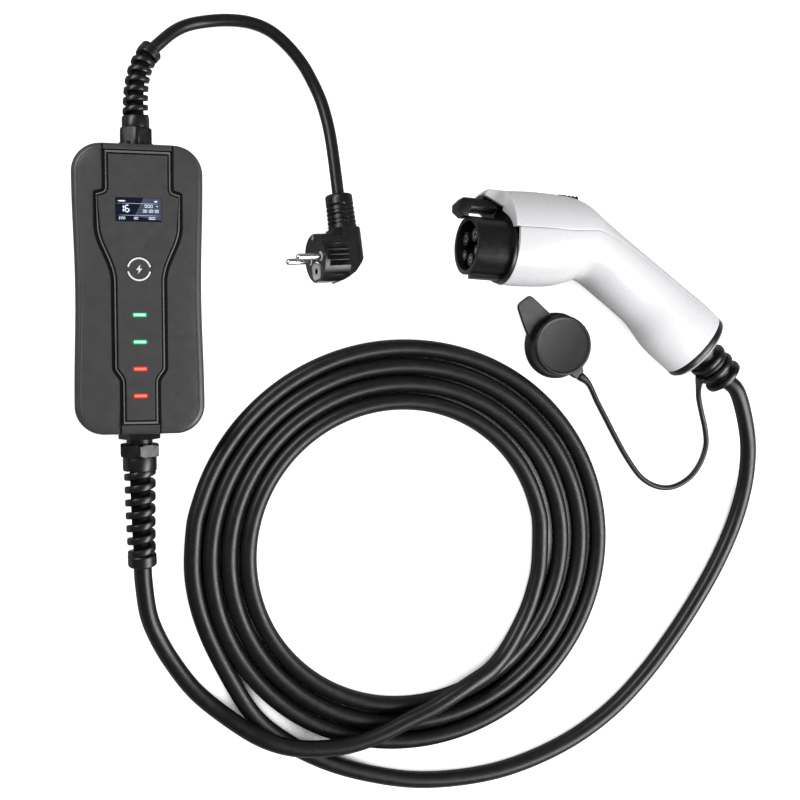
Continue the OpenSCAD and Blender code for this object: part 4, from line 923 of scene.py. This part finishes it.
# %% Stations and their curve
GUN = placed((269.7, 34.2, 39.9), (-7, 7, -3))
REACH, FRONT_R, SHELL = 171.8, 30.0, 2.6
stations = np.array([
    [0, 1.453, 0, -0.92, 0.5, 1, 85], [0.082, 1.487, 0.082, -0.92, 0.495, 1.06, 85],
    [0.175, 1.5, 0.169, -0.9, 0.49, 1.1, 85], [0.268, 1.487, 0.245, -0.853, 0.485, 1.1, 85],
    [0.344, 1.433, 0.317, -0.733, 0.48, 1.067, 84], [0.407, 1.287, 0.37, -0.627, 0.48, 1.017, 80],
    [0.489, 0.96, 0.425, -0.727, 0.48, 0.95, 70], [0.594, 0.583, 0.506, -1.057, 0.49, 0.877, 60],
    [0.71, 0.167, 0.588, -1.4, 0.5, 0.817, 54], [0.832, -0.267, 0.666, -1.75, 0.5, 0.787, 50],
    [0.947, -0.683, 0.736, -2.25, 0.5, 0.787, 48], [1.039, -1.02, 0.803, -2.587, 0.5, 0.8, 46],
    [1.115, -1.36, 0.884, -2.92, 0.5, 0.8, 45]])


def shell_point(s, angle, inset):
    """A point of a station's ring: angle 0 is the top line, 90 and 270 the widest height."""
    a = math.radians(angle)
    high = np.array([s[0] * REACH, s[1] * FRONT_R, 0])
    low = np.array([s[2] * REACH, s[3] * FRONT_R, 0])
    middle = low + s[4] * (high - low)
    v = (low if math.cos(a) < 0 else high) - middle
    v *= (np.linalg.norm(v) - inset) / np.linalg.norm(v)
    return middle + abs(math.cos(a)) * v + np.array([0, 0, (s[5] * FRONT_R - inset) * math.sin(a)])


def shell_ring(s, start, stop, n):
    """Outside and back along the inside; the lips are rounded so that the seam shows."""
    angles = np.linspace(start, stop, n)
    lip = np.minimum(np.abs(angles - start), np.abs(stop - angles))
    turn = np.sign(stop - start)
    angles = np.concatenate([[start, start + 1.0 * turn, start + 2.0 * turn], angles[2:-2],
                             [stop - 2.0 * turn, stop - 1.0 * turn, stop]])
    inset = np.concatenate([[0.35, 0.12, 0.02], np.zeros(n - 4), [0.02, 0.12, 0.35]])
    outer = [shell_point(s, a, i) for a, i in zip(angles, inset)]
    inner = [shell_point(s, a, SHELL) for a in angles[::-1]]
    return outer + inner


fine = through(stations, 6)
lower = plain_object("housing_lower", put(GUN, skin(
    [shell_ring(s, s[6] + 0.6, 359.4 - s[6], 72) for s in fine], walls=True)))
dressed(lower, white_gloss, "white_plastic", "lower_housing", sharp=50)
cover = plain_object("housing_cover", put(GUN, skin(
    [shell_ring(s, -s[6], s[6], 48) for s in fine], walls=True)))
button_slot = put(GUN, block((44.8, 20, -7.2), (63.2, 70, 7.2)))
carved(cover, button_slot)
dressed(cover, white_gloss, "white_plastic", "upper_cover", sharp=50)

# %% The connector's smaller pieces
refined("latch_hood", 0.5, white_gloss, "white_plastic")
refined("latch_arm", 0.6, satin_black, "black_plastic", body="latch")
refined("release_button", 0.5, satin_black, "black_plastic", body="button")
refined("nose_shell", 0.5, satin_black, "black_plastic")

# %% The collar, its lip and the boot
end = stations[-1]
end_high = np.array([end[0] * REACH, end[1] * FRONT_R, 0])
end_low = np.array([end[2] * REACH, end[3] * FRONT_R, 0])
end_up = unit(end_high - end_low)
end_way = np.array([end_up[1], -end_up[0], 0])


def end_ring(inset, x, n=72):
    return [shell_point(end, -a, inset) + x * end_way for a in np.linspace(0, 360, n, endpoint=False)]


collar = plain_object("cable_end_collar", put(GUN, skin([
    end_ring(10, 0.02), end_ring(0.5, 0.02), end_ring(0.1, 0.4), end_ring(-0.1, 2), end_ring(0.0, 4.4),
    end_ring(0.5, 5.4), end_ring(1.4, 5.9), end_ring(3.0, 5.9), end_ring(10, 5.9)])))
dressed(collar, satin_black, "black_plastic", "end_collar")
lip = plain_object("cable_end_lip", put(GUN, skin([
    end_ring(10, 5.8), end_ring(2.8, 5.8), end_ring(2.6, 6.2), end_ring(2.7, 7.6), end_ring(3.6, 8.2),
    end_ring(10, 8.2)])))
dressed(lip, lip_grey, "white_plastic")

end_turn = Matrix.Rotation(math.atan2(end_way[1], end_way[0]), 4, "Z") \
    @ Matrix.Rotation(math.radians(90), 4, "Y")
END = GUN @ Matrix.Translation(Vector((end_high + end_low) / 2)) @ end_turn
BOOT_L, BOOT_R, BOOT_RIBS, RIB_FOOT = 38.5, 16, 4, 1.6
BOOT_FOOT, RING_AT = 6, 18.2


def boot_profile():
    pitch = BOOT_L / BOOT_RIBS
    line = [(10, -9), (10, 0), (BOOT_R - 3, 0)]
    for k in range(BOOT_RIBS):
        z, r = k * pitch + RIB_FOOT, BOOT_R
        line += [(r - 1.2, z + 0.05), (r - 0.3, z + 0.5), (r, z + 1.4), (r, z + 3.2),
                 (r - 0.3, z + 4.2), (r - 1.2, z + 4.8), (r - 4, z + 5),
                 (r - 4.1, z + pitch - 0.5), (r - 3.6, z + pitch)]
    line[-2:] = [(BOOT_R - 4.6, BOOT_L - 1.2), (BOOT_R - 6.6, BOOT_L - 0.2)]
    return line + [(7.4, BOOT_L), (6, BOOT_L)]


BOOT = END @ Matrix.Translation((0, 0, BOOT_FOOT))
dressed(plain_object("boot", put(BOOT, lathe(boot_profile()))), satin_black, "black_plastic",
        "cable_boot")
ring_profile = [(12.2, -1.7), (13.6, -1.9), (14.4, -1.2), (14.6, 0), (14.4, 1.2), (13.6, 1.9),
                (12.2, 1.7)]
strap_ring = put(END @ Matrix.Translation((0, 0, BOOT_FOOT + RING_AT)), lathe(ring_profile, loop=True))
dressed(plain_object("strap_ring", strap_ring), soft_black, "seal", "tether_ring")

# %% [markdown]
# ## The dust cap
# A shallow cup with a rounded brim, a thumb tab that rises a little, and the strap's lug.

# %% The cap
CAP_AT = Matrix.Translation((329.6, -39.8, 0))
cap_profile = [(0.5, 15.4), (21, 15.4), (22.1, 14.4), (22.1, 0.3), (22.4, 0), (26.1, 0),
               (26.5, 0.4), (26.5, 2.4), (26.1, 3), (24.8, 4), (24.2, 5), (24.1, 6.5),
               (24.1, 16.2), (23.8, 17.2), (23.2, 17.8), (22.4, 18), (21.6, 17.9), (21.1, 17.5),
               (20.6, 17.4), (0.5, 17.4)]


def tab_ring(x, width, low, high):
    """A flat section with its corners cut by e."""
    half, e = width / 2, 0.8
    return [(x, y, z) for y, z in (
        (-half, low + e), (e - half, low), (half - e, low), (half, low + e),
        (half, high - e), (half - e, high), (e - half, high), (-half, high - e))]


tab = skin([tab_ring(-9, 27, 8.6, 11.6), tab_ring(0, 24.6, 8.8, 12), tab_ring(7, 21.4, 9.6, 12.8),
            tab_ring(14, 18, 10.6, 13.8), tab_ring(18.6, 15.4, 11.4, 14.5),
            tab_ring(20.8, 12.8, 11.9, 14.8), tab_ring(21.6, 9, 12.3, 14.7)])
TAB_AT = Matrix.Translation((309.8, -20.9, 0)) @ Matrix.Rotation(math.radians(127.2), 4, "Z")
lug = skin([tab_ring(20, 13, 0.6, 6), tab_ring(27, 12, 0.6, 5.6), tab_ring(30.5, 9.5, 0.6, 5),
            tab_ring(32, 7, 0.8, 4.6)])
cap = plain_object("cap", put(CAP_AT, merged(
    lathe(cap_profile, 96), put(CAP_AT.inverted() @ TAB_AT, tab),
    put(Matrix.Rotation(math.radians(-50), 4, "Z"), lug))))
dressed(cap, soft_black, "seal", "dust_cap")

# %% [markdown]
# ## The mains plug
# The plug keeps its CAD form, with a wider finger recess and three ridges in it. Its face gets a
# plate round the earth socket and a small clip near the rim.

# %% The plug's recess and ridges
PLUG = placed((128, 25, 27.3), (-7, 14, 4))
plug_fine = joined_copy("plug_moulding", "plug_body")
carved(plug_fine, put(PLUG, block((3.6, -8.4, 13.6), (21.2, 8, 30))))
dressed(plug_fine, satin_black, "black_plastic", "plug_body")
ridges = plain_object("plug_ridges", merged(*[
    put(PLUG, block((3.8, y - 0.7, 13.2), (21, y + 0.7, 14.6))) for y in (-3.6, 0.4, 4.2)]))
dressed(softened(ridges, 0.35), satin_black, "black_plastic")


# %% The plates on the plug's face
def face_plate(outline, x0, x1):
    """A plate of the plug's face from an outline of [y, z]."""
    return put(PLUG, skin([[(x, y, z) for y, z in outline] for x in (x0, x1)]))


earth_outline = [(-3.4, -4.6), (-2.6, -3.2), (-2.6, 3.2), (-3.4, 4.6), (-4.6, 6.2), (-6.4, 7.2),
                 (-12.4, 7.2), (-14.6, 6.2), (-15.6, 4.4), (-15.6, -4.4), (-14.6, -6.2),
                 (-12.4, -7.2), (-6.4, -7.2), (-4.6, -6.2)]
earth_plate = plain_object("plug_earth_plate", face_plate(earth_outline, -0.35, 0.4))
SOCKET_AT = PLUG @ Matrix.Translation((0, -9.5, 0)) @ Matrix.Rotation(math.radians(90), 4, "Y")
hole = put(SOCKET_AT, lathe([(2.3, -3), (2.3, 3)], 40))
carved(earth_plate, hole)
dressed(softened(earth_plate, 0.12), bright_steel, "steel")
clip_outline = [(13.2, 0), (15.2, -2.6), (17.4, 0), (15.2, 2.6)]
clip = plain_object("plug_clip", face_plate(clip_outline, -0.4, 0.4))
dressed(softened(clip, 0.12), bright_steel, "steel")

# %% [markdown]
# ## Studio
# The photograph has a pure white background. The floor adds a white that only the camera sees,
# directly or through glass, so it doesn't light the object, and a plain diffuse part bounces some
# of the lamps' light back up. Ambient occlusion turns both down where the floor shows through a
# narrow gap, as between the strands of the coil, which are dark in the photograph.

# %% Helpers for the studio's nodes
def add_node(tree, kind, **values):
    node = tree.nodes.new("ShaderNode" + kind)
    for label, value in values.items():
        node.inputs[label].default_value = value
    return node


def math_node(tree, operation, first, second):
    """An operation on two sockets, or on a socket and a number."""
    node = add_node(tree, "Math")
    node.operation = operation
    tree.links.new(first, node.inputs[0])
    if isinstance(second, float):
        node.inputs[1].default_value = second
    else:
        tree.links.new(second, node.inputs[1])
    return node.outputs[0]


# %% The floor
GAP_REACH, GAP_DARK, GAP_OPEN = 0.03, 0.2, 0.42
FLOOR_BOUNCE = 0.4
FLOOR_Z, FLOOR_HALF = -0.0006, 3


def stage_material():
    m = bpy.data.materials.new("white_floor")
    m.use_nodes = True
    tree = m.node_tree
    tree.nodes.clear()
    # Ambient occlusion darkens the floor's white and its bounce in narrow gaps: painted shade.
    gap = add_node(tree, "AmbientOcclusion", Distance=GAP_REACH)
    gap.samples = 12
    open_floor = add_node(tree, "MapRange", **{"From Min": GAP_DARK, "From Max": GAP_OPEN})
    path = add_node(tree, "LightPath")
    glow, diffuse = add_node(tree, "Emission"), add_node(tree, "BsdfDiffuse")
    both, out = add_node(tree, "AddShader"), add_node(tree, "OutputMaterial")
    seen = math_node(tree, "MAXIMUM", path.outputs["Is Camera Ray"], path.outputs["Is Transmission Ray"])
    link = tree.links.new
    link(gap.outputs["AO"], open_floor.inputs["Value"])
    openness = open_floor.outputs["Result"]
    link(math_node(tree, "MULTIPLY", seen, openness), glow.inputs["Strength"])
    link(math_node(tree, "MULTIPLY", openness, FLOOR_BOUNCE), diffuse.inputs["Color"])
    link(diffuse.outputs[0], both.inputs[0])
    link(glow.outputs[0], both.inputs[1])
    link(both.outputs[0], out.inputs["Surface"])
    return m


floor = new_object("floor", [(x * FLOOR_HALF, y * FLOOR_HALF, FLOOR_Z)
                             for x, y in ((-1, -1), (1, -1), (1, 1), (-1, 1))], faces=[(0, 1, 2, 3)])
floor.data.materials.append(stage_material())
print("floor at", FLOOR_Z)

# %% The world: white to the camera, and a dim light that is a little brighter from above
WHITE = (1, 1, 1, 1)
HORIZON, ZENITH = 0.14, 0.18
world = bpy.data.worlds.new("studio")
bpy.context.scene.world = world
world.use_nodes = True
sky = world.node_tree
sky.nodes.clear()
place, parts = add_node(sky, "TexCoord"), add_node(sky, "SeparateXYZ")
rise = add_node(sky, "MapRange", **{"From Min": 0.05, "From Max": 0.95, "To Min": HORIZON,
                                    "To Max": ZENITH})
light, backdrop = add_node(sky, "Background", Color=WHITE), add_node(sky, "Background", Color=WHITE)
path, choice = add_node(sky, "LightPath"), add_node(sky, "MixShader")
sky_out = add_node(sky, "OutputWorld")
sky.links.new(place.outputs["Generated"], parts.inputs["Vector"])
sky.links.new(parts.outputs["Z"], rise.inputs["Value"])
sky.links.new(rise.outputs["Result"], light.inputs["Strength"])
sky.links.new(path.outputs["Is Camera Ray"], choice.inputs[0])
sky.links.new(light.outputs[0], choice.inputs[1])
sky.links.new(backdrop.outputs[0], choice.inputs[2])
sky.links.new(choice.outputs[0], sky_out.inputs["Surface"])
print("world light from", HORIZON, "to", ZENITH)


# %% Lamps
def lamp(name, at, aim, width, depth, power):
    data = bpy.data.lights.new(name, "AREA")
    data.shape = "RECTANGLE"
    data.size, data.size_y, data.energy = width, depth, power
    obj = bpy.data.objects.new(name, data)
    bpy.context.scene.collection.objects.link(obj)
    obj.location = at
    obj.rotation_euler = (Vector(aim) - Vector(at)).to_track_quat("-Z", "Y").to_euler()


MIDDLE = (0.2, -0.08, 0)
lamp("key", (1.15, -0.6, 0.9), MIDDLE, 1.2, 0.8, 30)
lamp("fill", (-0.75, 0.7, 0.95), MIDDLE, 1.1, 0.5, 14)
bpy.context.scene.view_settings.view_transform = "Standard"
